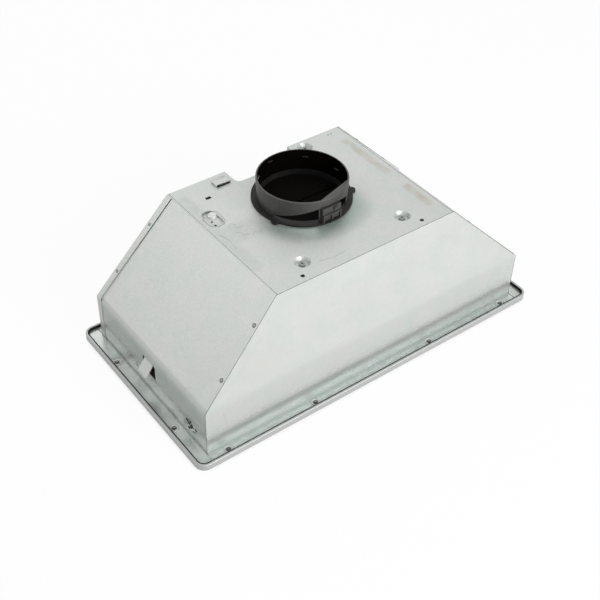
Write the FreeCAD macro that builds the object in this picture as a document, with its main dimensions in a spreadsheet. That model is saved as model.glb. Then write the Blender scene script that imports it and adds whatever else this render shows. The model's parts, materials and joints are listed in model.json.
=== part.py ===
"""Range hood insert: a galvanised casing on a stainless fascia, with its duct collar, blower,
controls, lamps and grease filters.

Units are millimetres. X runs along the long side, Y from the front to the back, and Z up.
The origin is under the middle of the fascia, on the plane that the rim rests on.
"""
import FreeCAD, Part
import math
import os
import Sketcher

Vector = FreeCAD.Vector
Rotation = FreeCAD.Rotation

# ---------------------------------------------------------------- driving sizes

SIZES = {
    # fascia
    "rim_length": 538,
    "rim_depth": 289,
    "rim_height": 9,
    "rim_hem": 3.2,
    "rim_corner": 13,
    "fascia_sheet": 0.8,
    "panel_rise": 3.4,
    # galvanised casing
    "sheet": 0.8,
    "end_flange": 15.9,
    "long_flange": 13.6,
    "fold_height": 73,
    "casing_height": 185,
    "slope_run": 112.7,
    "front_run": 18.5,
    "flange_gap": 1.2,
    "flange_corner": 9,
    "strip_width": 10,
    # fixing holes in the flange
    "hole_radius": 2.25,
    "hole_wide_inset": 24.4,
    "hole_narrow": 94,
    "hole_end_inset": 57.5,
    "hole_inset": 5.5,
    # details of the end walls
    "clip_width": 19,
    "clip_reach": 9.5,
    "clip_top": 54,
    "clip_drop": 17,
    "clip_centre": 3,
    "clip_leg": 11,
    "clip_nose_back": 1.12,
    "clip_nose_rise": 1.28,
    "clip_heel": 0.56,
    "slot_margin": 3.5,
    "slot_extra": 6,
    "slot_headroom": 2,
    "fork_y": 34,
    "fork_z": 24,
    "fork_tine": 1.6,
    "fork_length": 6,
    "fork_stagger": 1,
    "cluster_count": 4,
    "cluster_inset": 36.5,
    "cluster_z": 25,
    "cluster_pitch": 3.2,
    "cluster_stagger": 1.5,
    "cluster_radius": 1.1,
    # rivets along the slopes
    "rivet_radius": 3.4,
    "rivet_rise": 1.1,
    "rivet_high": 154.5,
    "rivet_low": 103,
    "rivet_edge": 5.5,
    # top plate
    "collar_y": 26.5,
    "seat_rim": 10.4,
    "seat_floor": 7.6,
    "seat_depth": 4.5,
    "seat_reach": 15,
    "seat_inset": 30.5,
    "rear_seat_reach": 7,
    "rear_seat_inset": 14.5,
    "pocket_end_inset": 18.5,
    "pocket_back_inset": 74.5,
    "pocket_length": 35,
    "pocket_width": 20,
    "pocket_depth": 2.5,
    "pocket_corner": 9,
    "pocket_hole": 1.6,
    "pocket_hole_x": 2.5,
    "pocket_hole_y": 6.5,
    "pocket_hole_gap": 8.2,
    "locating_hole": 2.8,
    "locating_x": 91.5,
    "locating_inset": 10,
    "window_end_inset": 37.5,
    "window_back_inset": 36,
    "window_length": 7.5,
    "window_depth": 5,
    "bridge_x": 67,
    "bridge_back_inset": 17.5,
    "bridge_length": 22,
    "bridge_width": 12,
    "bridge_rise": 5,
    # recess behind the collar
    "recess_width": 100,
    "recess_depth": 29.5,
    "recess_floor": 120,
    "recess_corner": 8,
    # duct collar
    "spigot_radius": 58.4,
    "spigot_wall": 2,
    "spigot_height": 32,
    "spigot_chamfer": 0.8,
    "band_low": 22.2,
    "band_step": 0.8,
    "collar_ring_width": 6,
    "collar_ring_height": 2.6,
    "lug_radius": 5,
    "throat_step": 1.4,
    "throat_wall": 2.4,
    "throat_drop": 8.4,
    "ledge_width": 3.6,
    "ledge_height": 1.8,
    "large_window_first": 5,
    "large_window_last": 20.6,
    "small_window_first": 21,
    "small_window_last": 15,
    "shelf_reach": 12.4,
    "shelf_height": 26,
    "shelf_thickness": 2,
    "boss_reach": 2.4,
    "boss_height": 4,
    "latch_width": 28,
    "latch_depth": 4.6,
    "latch_height": 19,
    "latch_plate_set": 2,
    "latch_ledge_low": 8,
    "latch_ledge_height": 2,
    "latch_rib_width": 1.6,
    "latch_rib_inset": 1.4,
    "latch_stop_x": 2.8,
    "latch_stop_width": 6,
    "latch_stop_low": 12,
    "latch_stop_height": 5,
    "duct_clearance": 0.2,
    # damper
    "rod_radius": 1.5,
    "rod_clearance": 0.05,
    "rod_drop": 5,
    "flap_thickness": 1.6,
    "flap_gap": 1.1,
    "flap_edge": 3.8,
    "knuckle_radius": 3,
    "knuckle_length": 19,
    "knuckle_gap": 1,
    # blower
    "volute_half_width": 62,
    "volute_wall": 1.6,
    "volute_radius": 86.5,
    "volute_step": 8,
    "volute_low": 15.5,
    "outlet_margin": 3,
    "inlet_radius": 43,
    "inlet_lip": 4,
    "fan_radius": 52,
    "fan_end_gap": 0.4,
    "fan_drop": 5,
    "fan_disc": 1.6,
    "fan_ring": 2,
    "blade_count": 36,
    "blade_depth": 8,
    "blade_thickness": 1,
    "blade_rim_gap": 0.4,
    "hub_radius": 12,
    "hub_half_length": 8,
    "hub_gap": 1,
    "shaft_radius": 4,
    "shaft_clearance": 0.05,
    "shaft_tail": 14,
    "shaft_inset": 2,
    "motor_radius": 33,
    "motor_length": 62,
    "motor_chamfer": 3,
    "bearing_radius": 11,
    "bearing_length": 5,
    "bracket_sheet": 2,
    "bracket_band": 4,
    "arm_width": 12,
    "arm_margin": 10,
    "bush_radius": 6,
    "bush_height": 3,
    "screw_radius": 2,
    "screw_head": 4,
    "screw_head_height": 2.2,
    "hanger_sheet": 1.2,
    "hanger_beam": 16,
    "hanger_leg": 16,
    "hanger_low": 95,
    "leg_screw_inset": 6,
    "beam_screw_inset": 14,
    "seat_screw_tail": 4,
    "foot_depth": 22,
    "capacitor_radius": 15,
    "capacitor_length": 52,
    "capacitor_chamfer": 1,
    "capacitor_x": 98,
    "capacitor_y": 14,
    "strap_thickness": 1.2,
    "strap_width": 12,
    "strap_foot": 9,
    # electrics
    "junction_length": 88,
    "junction_height": 58,
    "junction_depth": 25,
    "junction_wall": 2,
    "cover_thickness": 2,
    "terminal_ways": 3,
    "terminal_length": 40,
    "terminal_depth": 11,
    "terminal_height": 15,
    "gland_radius": 9,
    "gland_bore": 4,
    "gland_thread": 7,
    "gland_height": 14,
    "gland_tail": 1,
    "gland_chamfer": 3,
    "gland_nut": 10.5,
    "gland_nut_height": 4,
    # controls
    "control_inset": 24.5,
    "button_count": 5,
    "button_pitch": 20,
    "button_radius": 5.6,
    "button_clearance": 0.5,
    "button_chamfer": 0.6,
    "button_collar_width": 1.8,
    "button_collar_height": 1.2,
    "button_rest": 0.2,
    "button_low": 0.7,
    "button_stem": 2.6,
    "button_travel": 2,
    "bezel_end": 14,
    "bezel_depth": 22,
    "bezel_thickness": 1.6,
    "switch_margin": 5,
    "switch_depth": 32,
    "switch_height": 19,
    "switch_wall": 1.6,
    "board_thickness": 1.6,
    "board_height": 14.6,
    "tact_side": 6,
    "tact_height": 4,
    "tact_gap": 0.2,
    # lamps
    "lamp_inset": 58.7,
    "lamp_radius": 21,
    "lamp_wall": 1.2,
    "lamp_height": 17,
    "lamp_chamfer": 3,
    "lens_lip": 2.5,
    "lens_rise": 2.2,
    "lens_chamfer": 2,
    "lens_plug": 2,
    "lens_clearance": 0.2,
    "led_radius": 17,
    "led_thickness": 1.6,
    "led_height": 9,
    "led_post": 5,
    # grease filters
    "filter_end_margin": 11.7,
    "filter_rear_margin": 10.5,
    "control_strip": 55.5,
    "filter_height": 7.5,
    "filter_low": 1.2,
    "filter_gap": 1,
    "filter_rear_gap": 2,
    "centre_bar": 16,
    "frame_width": 10,
    "frame_lip": 1.6,
    "groove_depth": 3,
    "tab_length": 20,
    "tab_reach": 6,
    "tab_height": 1.2,
    "tab_gap": 0.3,
    "mesh_columns": 14,
    "mesh_rows": 11,
    "mesh_wire": 2.4,
    "pocket_block_length": 60,
    "pocket_block_depth": 24,
    "latch_slide_length": 39.6,
    "latch_slide_depth": 11,
    "latch_play": 0.2,
    "latch_travel": 6,
    "latch_inset": 3,
    "latch_floor": 1.4,
    "tongue_length": 20,
    "tongue_reach": 4.5,
    "tongue_gap": 0.4,
    "finger_length": 24,
    "finger_depth": 4,
    "finger_inset": 2,
    "finger_gap": 0.1,
}

doc = FreeCAD.newDocument("range_hood_insert")
sheet = doc.addObject("Spreadsheet::Sheet", "Sizes")
for row, (alias, value) in enumerate(SIZES.items(), start=1):
    sheet.set(f"A{row}", alias)
    sheet.set(f"B{row}", str(value))
    sheet.setAlias(f"B{row}", alias)
doc.recompute()


def number(item):
    """The value of a size, or a plain number as it is."""
    return item.value if isinstance(item, Size) else float(item)


def wording(item):
    """The expression of a size, or a plain number as text."""
    return item.text if isinstance(item, Size) else f"({float(item)!r})"


class Size:
    """A length that knows its value and its expression in terms of the sheet's cells."""

    def __init__(self, value, text):
        self.value = float(value)
        self.text = text

    def __add__(self, other):
        return Size(self.value + number(other), f"({self.text} + {wording(other)})")

    def __radd__(self, other):
        return Size(number(other) + self.value, f"({wording(other)} + {self.text})")

    def __sub__(self, other):
        return Size(self.value - number(other), f"({self.text} - {wording(other)})")

    def __rsub__(self, other):
        return Size(number(other) - self.value, f"({wording(other)} - {self.text})")

    def __mul__(self, other):
        return Size(self.value * number(other), f"({self.text} * {wording(other)})")

    def __rmul__(self, other):
        return Size(number(other) * self.value, f"({wording(other)} * {self.text})")

    def __truediv__(self, other):
        return Size(self.value / number(other), f"({self.text} / {wording(other)})")

    def __neg__(self):
        return Size(-self.value, f"(0 - {self.text})")


def root(item):
    """The square root of a size."""
    return Size(math.sqrt(item.value), f"sqrt({item.text})")


class Named:
    """The sheet's sizes by name: s.rim_length is the cell with that alias."""


s = Named()
for alias in SIZES:
    setattr(s, alias, Size(sheet.get(alias), f"Sizes.{alias}"))

# ---------------------------------------------------------------- building blocks

UPRIGHT = Rotation()
ALONG_X = Rotation(Vector(0, 1, 0), 90)
ALONG_Y = Rotation(Vector(1, 0, 0), -90)
OVERSHOOT = 1.0          # how far a cutting tool reaches past the face that it cuts


def bind(item, prop, value):
    """Tie a property to the expression of a size."""
    item.setExpression(prop, wording(value))


def place(item, at, turn=UPRIGHT):
    """Put an object at a point made of sizes, turned as given."""
    item.Placement = FreeCAD.Placement(Vector(), turn)
    for axis, value in zip("xyz", at):
        bind(item, f"Placement.Base.{axis}", value)
    return item


def block(name, low, size):
    """A box from its lowest corner and its three sides."""
    item = doc.addObject("Part::Box", name)
    for prop, value in zip(("Length", "Width", "Height"), size):
        bind(item, prop, value)
    return place(item, low)


def block_between(name, low, high):
    """A box between two opposite corners."""
    return block(name, low, [top - bottom for bottom, top in zip(low, high)])


def rod(name, at, radius, length, turn=UPRIGHT, angle=360):
    """A cylinder, or a sector of one, that starts at a point."""
    item = doc.addObject("Part::Cylinder", name)
    bind(item, "Radius", radius)
    bind(item, "Height", length)
    item.Angle = angle
    return place(item, at, turn)


def cone(name, at, low_radius, high_radius, length):
    """An upright cone frustum."""
    item = doc.addObject("Part::Cone", name)
    bind(item, "Radius1", low_radius)
    bind(item, "Radius2", high_radius)
    bind(item, "Height", length)
    return place(item, at)


def join(name, *items):
    """One solid from solids that touch or overlap."""
    item = doc.addObject("Part::MultiFuse", name)
    item.Shapes = list(items)
    item.Refine = True
    return item


def trim(name, base, *tools):
    """A solid less its cutting tools."""
    item = doc.addObject("Part::Cut", name)
    item.Base = base
    item.Tool = tools[0] if len(tools) == 1 else join(f"{name}_tools", *tools)
    item.Refine = True
    return item


def overlap(name, *items):
    """What several solids have in common."""
    item = doc.addObject("Part::MultiCommon", name)
    item.Shapes = list(items)
    item.Refine = True
    return item


def group(name, items):
    """Separate solids that share one node."""
    item = doc.addObject("Part::Compound", name)
    item.Links = list(items)
    return item


def mirror(name, source, normal=Vector(1, 0, 0)):
    """The other hand of a solid, across the middle plane."""
    item = doc.addObject("Part::Mirroring", name)
    item.Source = source
    item.Base = Vector()
    item.Normal = normal
    return item


def slab(name, at, length, depth, height, corner):
    """An upright slab with rounded corners, centred on a point at its underside."""
    x, y, z = at
    across = block(f"{name}_across", (x - length / 2, y - depth / 2 + corner, z),
                   (length, depth - corner * 2, height))
    along = block(f"{name}_along", (x - length / 2 + corner, y - depth / 2, z),
                  (length - corner * 2, depth, height))
    corners = []
    for i in (-1, 1):
        for j in (-1, 1):
            at = (x + (length / 2 - corner) * i, y + (depth / 2 - corner) * j, z)
            corners.append(rod(f"{name}_corner", at, corner, height))
    return join(name, across, along, *corners)


def obround(name, at, length, depth, height):
    """An upright slab with half-round ends, long along X, centred on a point at its underside."""
    x, y, z = at
    run = length - depth
    pieces = [block(f"{name}_middle", (x - run / 2, y - depth / 2, z), (run, depth, height))]
    pieces += [rod(f"{name}_end", (x + run / 2 * i, y, z), depth / 2, height) for i in (-1, 1)]
    return join(name, *pieces)


def outline_sketch(body, plane, points):
    """A closed outline whose corners are tied to sizes, on one of the body's own planes."""
    sketch = body.newObject("Sketcher::SketchObject", f"{body.Name}_outline")
    planes = [item for item in body.Origin.OriginFeatures if item.Role == plane]
    sketch.AttachmentSupport = [(planes[0], "")]
    sketch.MapMode = "FlatFace"
    corners = [Vector(number(a), number(b), 0) for a, b in points]
    for start, end in zip(corners, corners[1:] + corners[:1]):
        sketch.addGeometry(Part.LineSegment(start, end), False)
    count = len(corners)
    for i in range(count):
        sketch.addConstraint(Sketcher.Constraint("Coincident", i, 2, (i + 1) % count, 1))
    for i, corner in enumerate(points):
        for kind, axis, value in (("DistanceX", -2, corner[0]), ("DistanceY", -1, corner[1])):
            if abs(number(value)) < 1e-9:
                sketch.addConstraint(Sketcher.Constraint("PointOnObject", i, 1, axis))
                continue
            rule = Sketcher.Constraint(kind, -1, 1, i, 1, number(value))
            index = sketch.addConstraint(rule)
            sketch.renameConstraint(index, f"{kind}_{i}")
            bind(sketch, f"Constraints.{kind}_{i}", value)
    return sketch


def turned(name, points, at=(0, 0, 0), turn=UPRIGHT):
    """A turned body: an outline of (radius, height) corners, revolved round its own upright axis."""
    body = doc.addObject("PartDesign::Body", name)
    sketch = outline_sketch(body, "XZ_Plane", points)
    feature = body.newObject("PartDesign::Revolution", f"{name}_turn")
    feature.Profile = sketch
    feature.ReferenceAxis = (sketch, ["V_Axis"])
    feature.Angle = 360
    sketch.Visibility = False
    return place(body, at, turn)


def plate(name, plane, points, start, thickness):
    """A flat plate cut to an outline on the XY or YZ plane, from a start height along its normal."""
    body = doc.addObject("PartDesign::Body", name)
    sketch = outline_sketch(body, plane, points)
    bind(sketch, "AttachmentOffset.Base.z", start)
    feature = body.newObject("PartDesign::Pad", f"{name}_pad")
    feature.Profile = sketch
    bind(feature, "Length", thickness)
    return body


def around(angle_deg, radius, centre_y=0):
    """The (x, y) place at an angle round the collar's axis."""
    angle = math.radians(angle_deg)
    return radius * math.cos(angle), centre_y + radius * math.sin(angle)


# ---------------------------------------------------------------- shared levels and places

PANEL_TOP = s.panel_rise + s.fascia_sheet
FLANGE_TOP = PANEL_TOP + s.sheet
FLANGE_X = s.rim_length / 2 - s.rim_hem - s.flange_gap
FLANGE_Y = s.rim_depth / 2 - s.rim_hem - s.flange_gap
BASE_X = FLANGE_X - s.end_flange
BASE_Y = FLANGE_Y - s.long_flange
TOP_X = BASE_X - s.slope_run
TOP_FRONT = BASE_Y - s.front_run
PLATE_TOP = s.casing_height
PLATE_UNDER = s.casing_height - s.sheet
SLOPE_RISE = s.casing_height - s.fold_height
SLOPE_LENGTH = root(s.slope_run * s.slope_run + SLOPE_RISE * SLOPE_RISE)
SLOPE_SHEET = s.sheet * SLOPE_LENGTH / SLOPE_RISE
SEAT_UNDER = PLATE_TOP - s.seat_depth - s.sheet
SEAT_X = s.volute_half_width + s.seat_reach
SEAT_Y = TOP_FRONT - s.seat_inset
REAR_SEAT_X = s.volute_half_width + s.rear_seat_reach
REAR_SEAT_Y = BASE_Y - s.rear_seat_inset
RECESS_FRONT = BASE_Y - s.recess_depth
CONTROL_Y = BASE_Y - s.control_inset
LAMP_X = BASE_X - s.lamp_inset
BUTTON_COUNT = int(SIZES["button_count"])


def fixing_points():
    """The (x, y) places of the holes that screw the insert up into the cupboard."""
    long_y = FLANGE_Y - s.hole_inset
    end_x = FLANGE_X - s.hole_inset
    end_y = BASE_Y - s.hole_end_inset
    points = []
    for j in (-1, 1):
        for half in (BASE_X - s.hole_wide_inset, s.hole_narrow):
            points += [(half * i, long_y * j) for i in (-1, 1)]
        points += [(end_x * i, end_y * j) for i in (-1, 1)]
    return points


def fixing_tools(name):
    """Drills for the fixing holes, through the fascia and the flange above it."""
    return [rod(f"{name}_drill", (x, y, -OVERSHOOT), s.hole_radius, FLANGE_TOP + OVERSHOOT * 2)
            for x, y in fixing_points()]


# ---------------------------------------------------------------- fascia

FILTER_FRONT = s.control_strip - BASE_Y
FILTER_REAR = BASE_Y - s.filter_rear_margin
FILTER_X = s.centre_bar / 2 + s.filter_gap
FILTER_LENGTH = BASE_X - s.filter_end_margin - FILTER_X
FILTER_MIDDLE = FILTER_X + FILTER_LENGTH / 2


def filter_opening(name, side):
    """The cut-out of one grease filter, on the side given by -1 or 1."""
    length = FILTER_LENGTH + s.filter_gap * 2
    low = FILTER_MIDDLE * side - length / 2
    depth = FILTER_REAR - FILTER_FRONT + s.filter_gap + s.filter_rear_gap
    return block(name, (low, FILTER_FRONT - s.filter_gap, -OVERSHOOT), (length, depth, FLANGE_TOP + OVERSHOOT))


def button_places():
    """The X places of the push buttons."""
    return [s.button_pitch * (i - (BUTTON_COUNT - 1) / 2) for i in range(BUTTON_COUNT)]


def fascia_panel():
    """A pressed tray: flat panel, rolled rim that stands above it, and openings for what it carries."""
    length = s.rim_length
    depth = s.rim_depth
    hem = s.rim_hem * 2
    skin = s.fascia_sheet * 2
    lip_low = s.rim_height - s.fascia_sheet
    outside = slab("rim_outside", (0, 0, 0), length, depth, s.rim_height, s.rim_corner)
    mouth = slab("rim_mouth", (0, 0, lip_low - OVERSHOOT), length - hem, depth - hem,
                 s.fascia_sheet + OVERSHOOT * 2, s.rim_corner - s.rim_hem)
    inside = slab("rim_inside", (0, 0, PANEL_TOP), length - skin, depth - skin, lip_low - PANEL_TOP,
                  s.rim_corner - s.fascia_sheet)
    recess = slab("rim_recess", (0, 0, -OVERSHOOT), length - hem, depth - hem, s.panel_rise + OVERSHOOT,
                  s.rim_corner - s.rim_hem)
    tools = [mouth, inside, recess, filter_opening("left_opening", -1), filter_opening("right_opening", 1)]
    for side in (-1, 1):
        tools.append(rod("lamp_opening", (LAMP_X * side, -CONTROL_Y, 0), s.lamp_radius, FLANGE_TOP))
    for x in button_places():
        hole = s.button_radius + s.button_clearance
        tools.append(rod("button_opening", (x, -CONTROL_Y, 0), hole, FLANGE_TOP))
    return trim("fascia_panel", outside, *tools, *fixing_tools("fascia"))


# ---------------------------------------------------------------- casing

def casing_block(name, left=0, right=0, front=0, back=0, top=0):
    """The casing's outer form, with each face moved in by a number of sheet thicknesses."""
    west = -BASE_X + s.sheet * left
    east = BASE_X - s.sheet * right
    south = -BASE_Y + s.sheet * front
    north = BASE_Y - s.sheet * back
    lower = block_between(f"{name}_lower", (west, south, PANEL_TOP), (east, north, s.fold_height))
    upper = doc.addObject("Part::Wedge", f"{name}_upper")
    lean = (SLOPE_RISE - s.sheet * top) / SLOPE_RISE
    faces = {
        "Xmin": west,
        "Xmax": east,
        "Zmin": -north,
        "Zmax": -south,
        "Ymin": Size(0, "0"),
        "Ymax": SLOPE_RISE - s.sheet * top,
        "X2min": west + (s.slope_run + (SLOPE_SHEET - s.sheet) * left) * lean,
        "X2max": east - (s.slope_run + (SLOPE_SHEET - s.sheet) * right) * lean,
        "Z2min": -north,
        "Z2max": -south - s.front_run * lean,
    }
    for prop, value in faces.items():
        bind(upper, prop, value)
    place(upper, (0, 0, s.fold_height), Rotation(Vector(1, 0, 0), 90))
    return join(name, lower, upper)


def casing():
    """The five bent panels of the casing, peeled one after another from the outer form."""
    whole = casing_block("casing_whole")
    no_front = casing_block("casing_no_front", front=1)
    no_back = casing_block("casing_no_back", front=1, back=1)
    no_left = casing_block("casing_no_left", front=1, back=1, left=1)
    no_right = casing_block("casing_no_right", front=1, back=1, left=1, right=1)
    no_top = casing_block("casing_no_top", front=1, back=1, left=1, right=1, top=1)
    wide = casing_block("casing_wide", left=-1, right=-1)

    far = s.rim_length
    flange = slab("flange_outline", (0, 0, PANEL_TOP), FLANGE_X * 2, FLANGE_Y * 2, s.sheet, s.flange_corner)
    drills = fixing_tools("casing")

    def flange_piece(name, low, high):
        """The part of the flange between two corners in plan."""
        return overlap(name, flange, block_between(f"{name}_region", (*low, 0), (*high, s.rim_height)))

    front_flange = flange_piece("front_flange", (-BASE_X, -far), (BASE_X, -BASE_Y))
    back_flange = flange_piece("back_flange", (-BASE_X, BASE_Y), (BASE_X, far))
    left_flange = flange_piece("left_flange", (-far, -far), (-BASE_X, far))
    right_flange = flange_piece("right_flange", (BASE_X, -far), (far, far))

    front_wall = trim("front_wall", whole, no_front)
    trim("front_panel", join("front_bent", front_wall, front_flange), *drills)

    back_wall = trim("back_wall", no_front, no_back)
    strips_region = block_between("strips_region", (-far, BASE_Y - s.strip_width, FLANGE_TOP),
                                  (far, BASE_Y, PLATE_TOP))
    strips = trim("back_strips", overlap("strips_whole", wide, strips_region), whole)
    notch = block_between("back_notch", (-s.recess_width / 2, RECESS_FRONT, s.recess_floor),
                          (s.recess_width / 2, BASE_Y + OVERSHOOT, PLATE_TOP + OVERSHOOT))
    trim("back_panel", join("back_bent", back_wall, back_flange, strips), notch, *drills)

    left_wall = trim("left_wall", no_back, no_left)
    cuts = end_cuts("left", -1)
    trim("left_end_panel", join("left_bent", left_wall, left_flange), *cuts, *drills)

    right_wall = trim("right_wall", no_left, no_right)
    cuts = end_cuts("right", 1)
    trim("right_end_panel", join("right_bent", right_wall, right_flange), *cuts, *drills)

    top_wall = trim("top_wall", no_right, no_top)
    top_plate(top_wall)
    rear_recess()
    casing_rivets(wide)


def end_cuts(name, side):
    """Cutting tools for one end wall: the spring's slot, a forked slot and a cluster of small holes."""
    wall = BASE_X * side - s.clip_reach
    across = s.clip_reach * 2
    slot_low = s.clip_top - s.clip_drop - s.slot_margin
    slot_y = s.clip_centre - s.clip_width / 2 - s.slot_extra
    slot_width = s.clip_width + s.slot_extra + s.slot_margin
    tools = [block(f"{name}_clip_slot", (wall, slot_y, slot_low),
                   (across, slot_width, s.clip_top + s.slot_headroom - slot_low))]
    for step in (-1, 1):
        y = s.fork_y + s.fork_tine * (step - 0.5)
        tools.append(block(f"{name}_fork", (wall, y, s.fork_z + s.fork_stagger * step - s.fork_length / 2),
                           (across, s.fork_tine, s.fork_length)))
    count = int(SIZES["cluster_count"])
    for i in range(count):
        y = s.cluster_pitch * (i - (count - 1) / 2) - (BASE_Y - s.cluster_inset)
        z = s.cluster_z - s.cluster_stagger * (i % 2)
        tools.append(rod(f"{name}_cluster", (wall, y, z), s.cluster_radius, across, ALONG_X))
    return tools


def seat_points():
    """The (x, y) places of the round pressed screw seats in the top plate."""
    return [(-SEAT_X, -SEAT_Y), (SEAT_X, -SEAT_Y), (REAR_SEAT_X, REAR_SEAT_Y)]


def top_plate(blank):
    """The flat top with the duct hole, pressed seats, a pocket, locating holes and a lanced bridge."""
    drill_low = PLATE_UNDER - OVERSHOOT
    drill_length = s.sheet + OVERSHOOT * 2
    presses = []
    tools = [rod("duct_hole", (0, s.collar_y, drill_low), THROAT_RADIUS + s.duct_clearance, drill_length)]
    for x, y in seat_points():
        presses.append(cone("seat_press", (x, y, SEAT_UNDER), s.seat_floor + s.sheet, s.seat_rim + s.sheet,
                            s.seat_depth))
        tools.append(cone("seat_hollow", (x, y, PLATE_TOP - s.seat_depth), s.seat_floor, s.seat_rim,
                          s.seat_depth))
        tools.append(rod("seat_hole", (x, y, SEAT_UNDER - OVERSHOOT), s.screw_radius, drill_length))

    pocket_x = s.pocket_end_inset - TOP_X
    pocket_y = BASE_Y - s.pocket_back_inset
    presses.append(slab("pocket_press", (pocket_x, pocket_y, PLATE_UNDER - s.pocket_depth),
                        s.pocket_width, s.pocket_length, s.pocket_depth, s.pocket_corner))
    tools.append(slab("pocket_hollow", (pocket_x, pocket_y, PLATE_TOP - s.pocket_depth),
                      s.pocket_width - s.sheet * 2, s.pocket_length - s.sheet * 2,
                      s.pocket_depth + OVERSHOOT, s.pocket_corner - s.sheet))
    for step in (-1, 1):
        at = (pocket_x - s.pocket_hole_x, pocket_y - s.pocket_hole_y + s.pocket_hole_gap / 2 * step,
              drill_low - s.pocket_depth)
        tools.append(rod("pocket_drill", at, s.pocket_hole, drill_length))

    for side in (-1, 1):
        at = (s.locating_x * side, s.locating_inset - TOP_FRONT, drill_low)
        tools.append(rod("locating_drill", at, s.locating_hole, drill_length))
    window_at = (s.window_end_inset - TOP_X - s.window_length / 2,
                 BASE_Y - s.window_back_inset - s.window_depth / 2, drill_low)
    tools.append(block("square_window", window_at, (s.window_length, s.window_depth, drill_length)))

    bridge_low = -s.bridge_x - s.bridge_length / 2
    bridge_front = BASE_Y - s.bridge_back_inset - s.bridge_width / 2
    bridge = block("bridge_arch", (bridge_low, bridge_front, PLATE_UNDER),
                   (s.bridge_length, s.bridge_width, s.bridge_rise + s.sheet))
    under = block("bridge_under", (bridge_low + s.sheet * 2, bridge_front - OVERSHOOT, drill_low),
                  (s.bridge_length - s.sheet * 4, s.bridge_width + OVERSHOOT * 2, s.bridge_rise + OVERSHOOT))
    notch = slab("plate_notch", (0, RECESS_FRONT + s.recess_width / 2, drill_low),
                 s.recess_width, s.recess_width, drill_length, s.recess_corner)
    blank = join("plate_pressed", blank, bridge, *presses)
    trim("top_plate", blank, under, notch, *tools)


def rear_recess():
    """A pan that closes the notch behind the collar: front wall, side walls and floor, open to the back."""
    height = PLATE_TOP - s.recess_floor
    y = RECESS_FRONT + s.recess_width / 2
    outer = s.recess_width + s.sheet * 2
    pan = slab("recess_pan", (0, y, s.recess_floor - s.sheet), outer, outer, height,
               s.recess_corner + s.sheet)
    hollow = slab("recess_hollow", (0, y, s.recess_floor), s.recess_width, s.recess_width, height,
                  s.recess_corner)
    behind = block_between("recess_behind", (-s.recess_width, BASE_Y - s.sheet, 0),
                           (s.recess_width, BASE_Y + s.recess_width, PLATE_TOP + OVERSHOOT))
    hole = rod("recess_gland_hole", (0, GLAND_Y, JUNCTION_TOP - OVERSHOOT), s.gland_thread,
               s.sheet + OVERSHOOT * 2)
    trim("rear_recess", pan, hollow, behind, hole)


def casing_rivets(wide):
    """Domed rivet heads along the front and back edges of both slopes."""
    sunk = s.rivet_radius - s.rivet_rise
    sink_x = sunk * SLOPE_RISE / SLOPE_LENGTH
    sink_z = sunk * s.slope_run / SLOPE_LENGTH
    whole = casing_block("rivet_ground")
    for hand, side in (("left", -1), ("right", 1)):
        heads = {"front": [], "back": []}
        for height in (s.rivet_high, s.rivet_low):
            up = height - s.fold_height
            x = BASE_X - s.slope_run / SLOPE_RISE * up - sink_x
            front = s.front_run / SLOPE_RISE * up + s.rivet_edge - BASE_Y
            back = BASE_Y - s.strip_width / 2
            for name, y, lift, ground in (("front", front, 0, whole), ("back", back, s.sheet, wide)):
                ball = doc.addObject("Part::Sphere", f"{name}_rivet_ball")
                bind(ball, "Radius", s.rivet_radius)
                place(ball, ((x + lift) * side, y, height - sink_z))
                heads[name].append(trim(f"{name}_rivet_head", ball, ground))
        for name, pair in heads.items():
            group(f"casing_rivets_{hand}_{name}", pair)


def side_springs():
    """Bent steel strips that grip the cut-out: fixed inside the end wall, flared out through its slot."""
    strip = s.sheet
    inner = BASE_X - s.sheet
    low = s.clip_top - s.clip_drop
    out = BASE_X + s.clip_reach
    # down the inner leg, out to the nose, back in, and up again on the other face of the strip
    outline = [
        (inner - strip, s.clip_top + s.clip_leg),
        (inner, s.clip_top + s.clip_leg),
        (inner, s.clip_top),
        (out, low + strip * 2),
        (out, low),
        (out - strip, low),
        (out - s.clip_nose_back, low + s.clip_nose_rise),
        (inner - strip, s.clip_top - s.clip_heel),
    ]
    body = doc.addObject("PartDesign::Body", "side_spring_right")
    sketch = outline_sketch(body, "XZ_Plane", outline)
    bind(sketch, "AttachmentOffset.Base.z", -s.clip_centre)
    feature = body.newObject("PartDesign::Pad", "spring_pad")
    feature.Profile = sketch
    feature.Midplane = True
    bind(feature, "Length", s.clip_width)
    mirror("side_spring_left", body)


# ---------------------------------------------------------------- duct collar and damper

RING_TOP = PLATE_TOP + s.collar_ring_height
ROD_Z = PLATE_TOP - s.rod_drop
COLLAR_RADIUS = s.spigot_radius + s.collar_ring_width
THROAT_RADIUS = s.spigot_radius - s.throat_step
THROAT_INNER = THROAT_RADIUS - s.throat_wall
SPIGOT_INNER = s.spigot_radius - s.spigot_wall

# angles round the collar's axis, in degrees from the +X side
LUG_ANGLES = (-25, -157, 95)
LARGE_WINDOW_MIDDLE = -135.5
LARGE_WINDOW_SWEEP = 59
SMALL_WINDOW_MIDDLE = -65
SMALL_WINDOW_SWEEP = 18
SHELF_MIDDLE = -74
BOSS_SWEEP = 8
BOSSES = ((101, 22), (49, 18), (1, 14), (138, 20))      # each boss's angle, and its height over the plate


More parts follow.
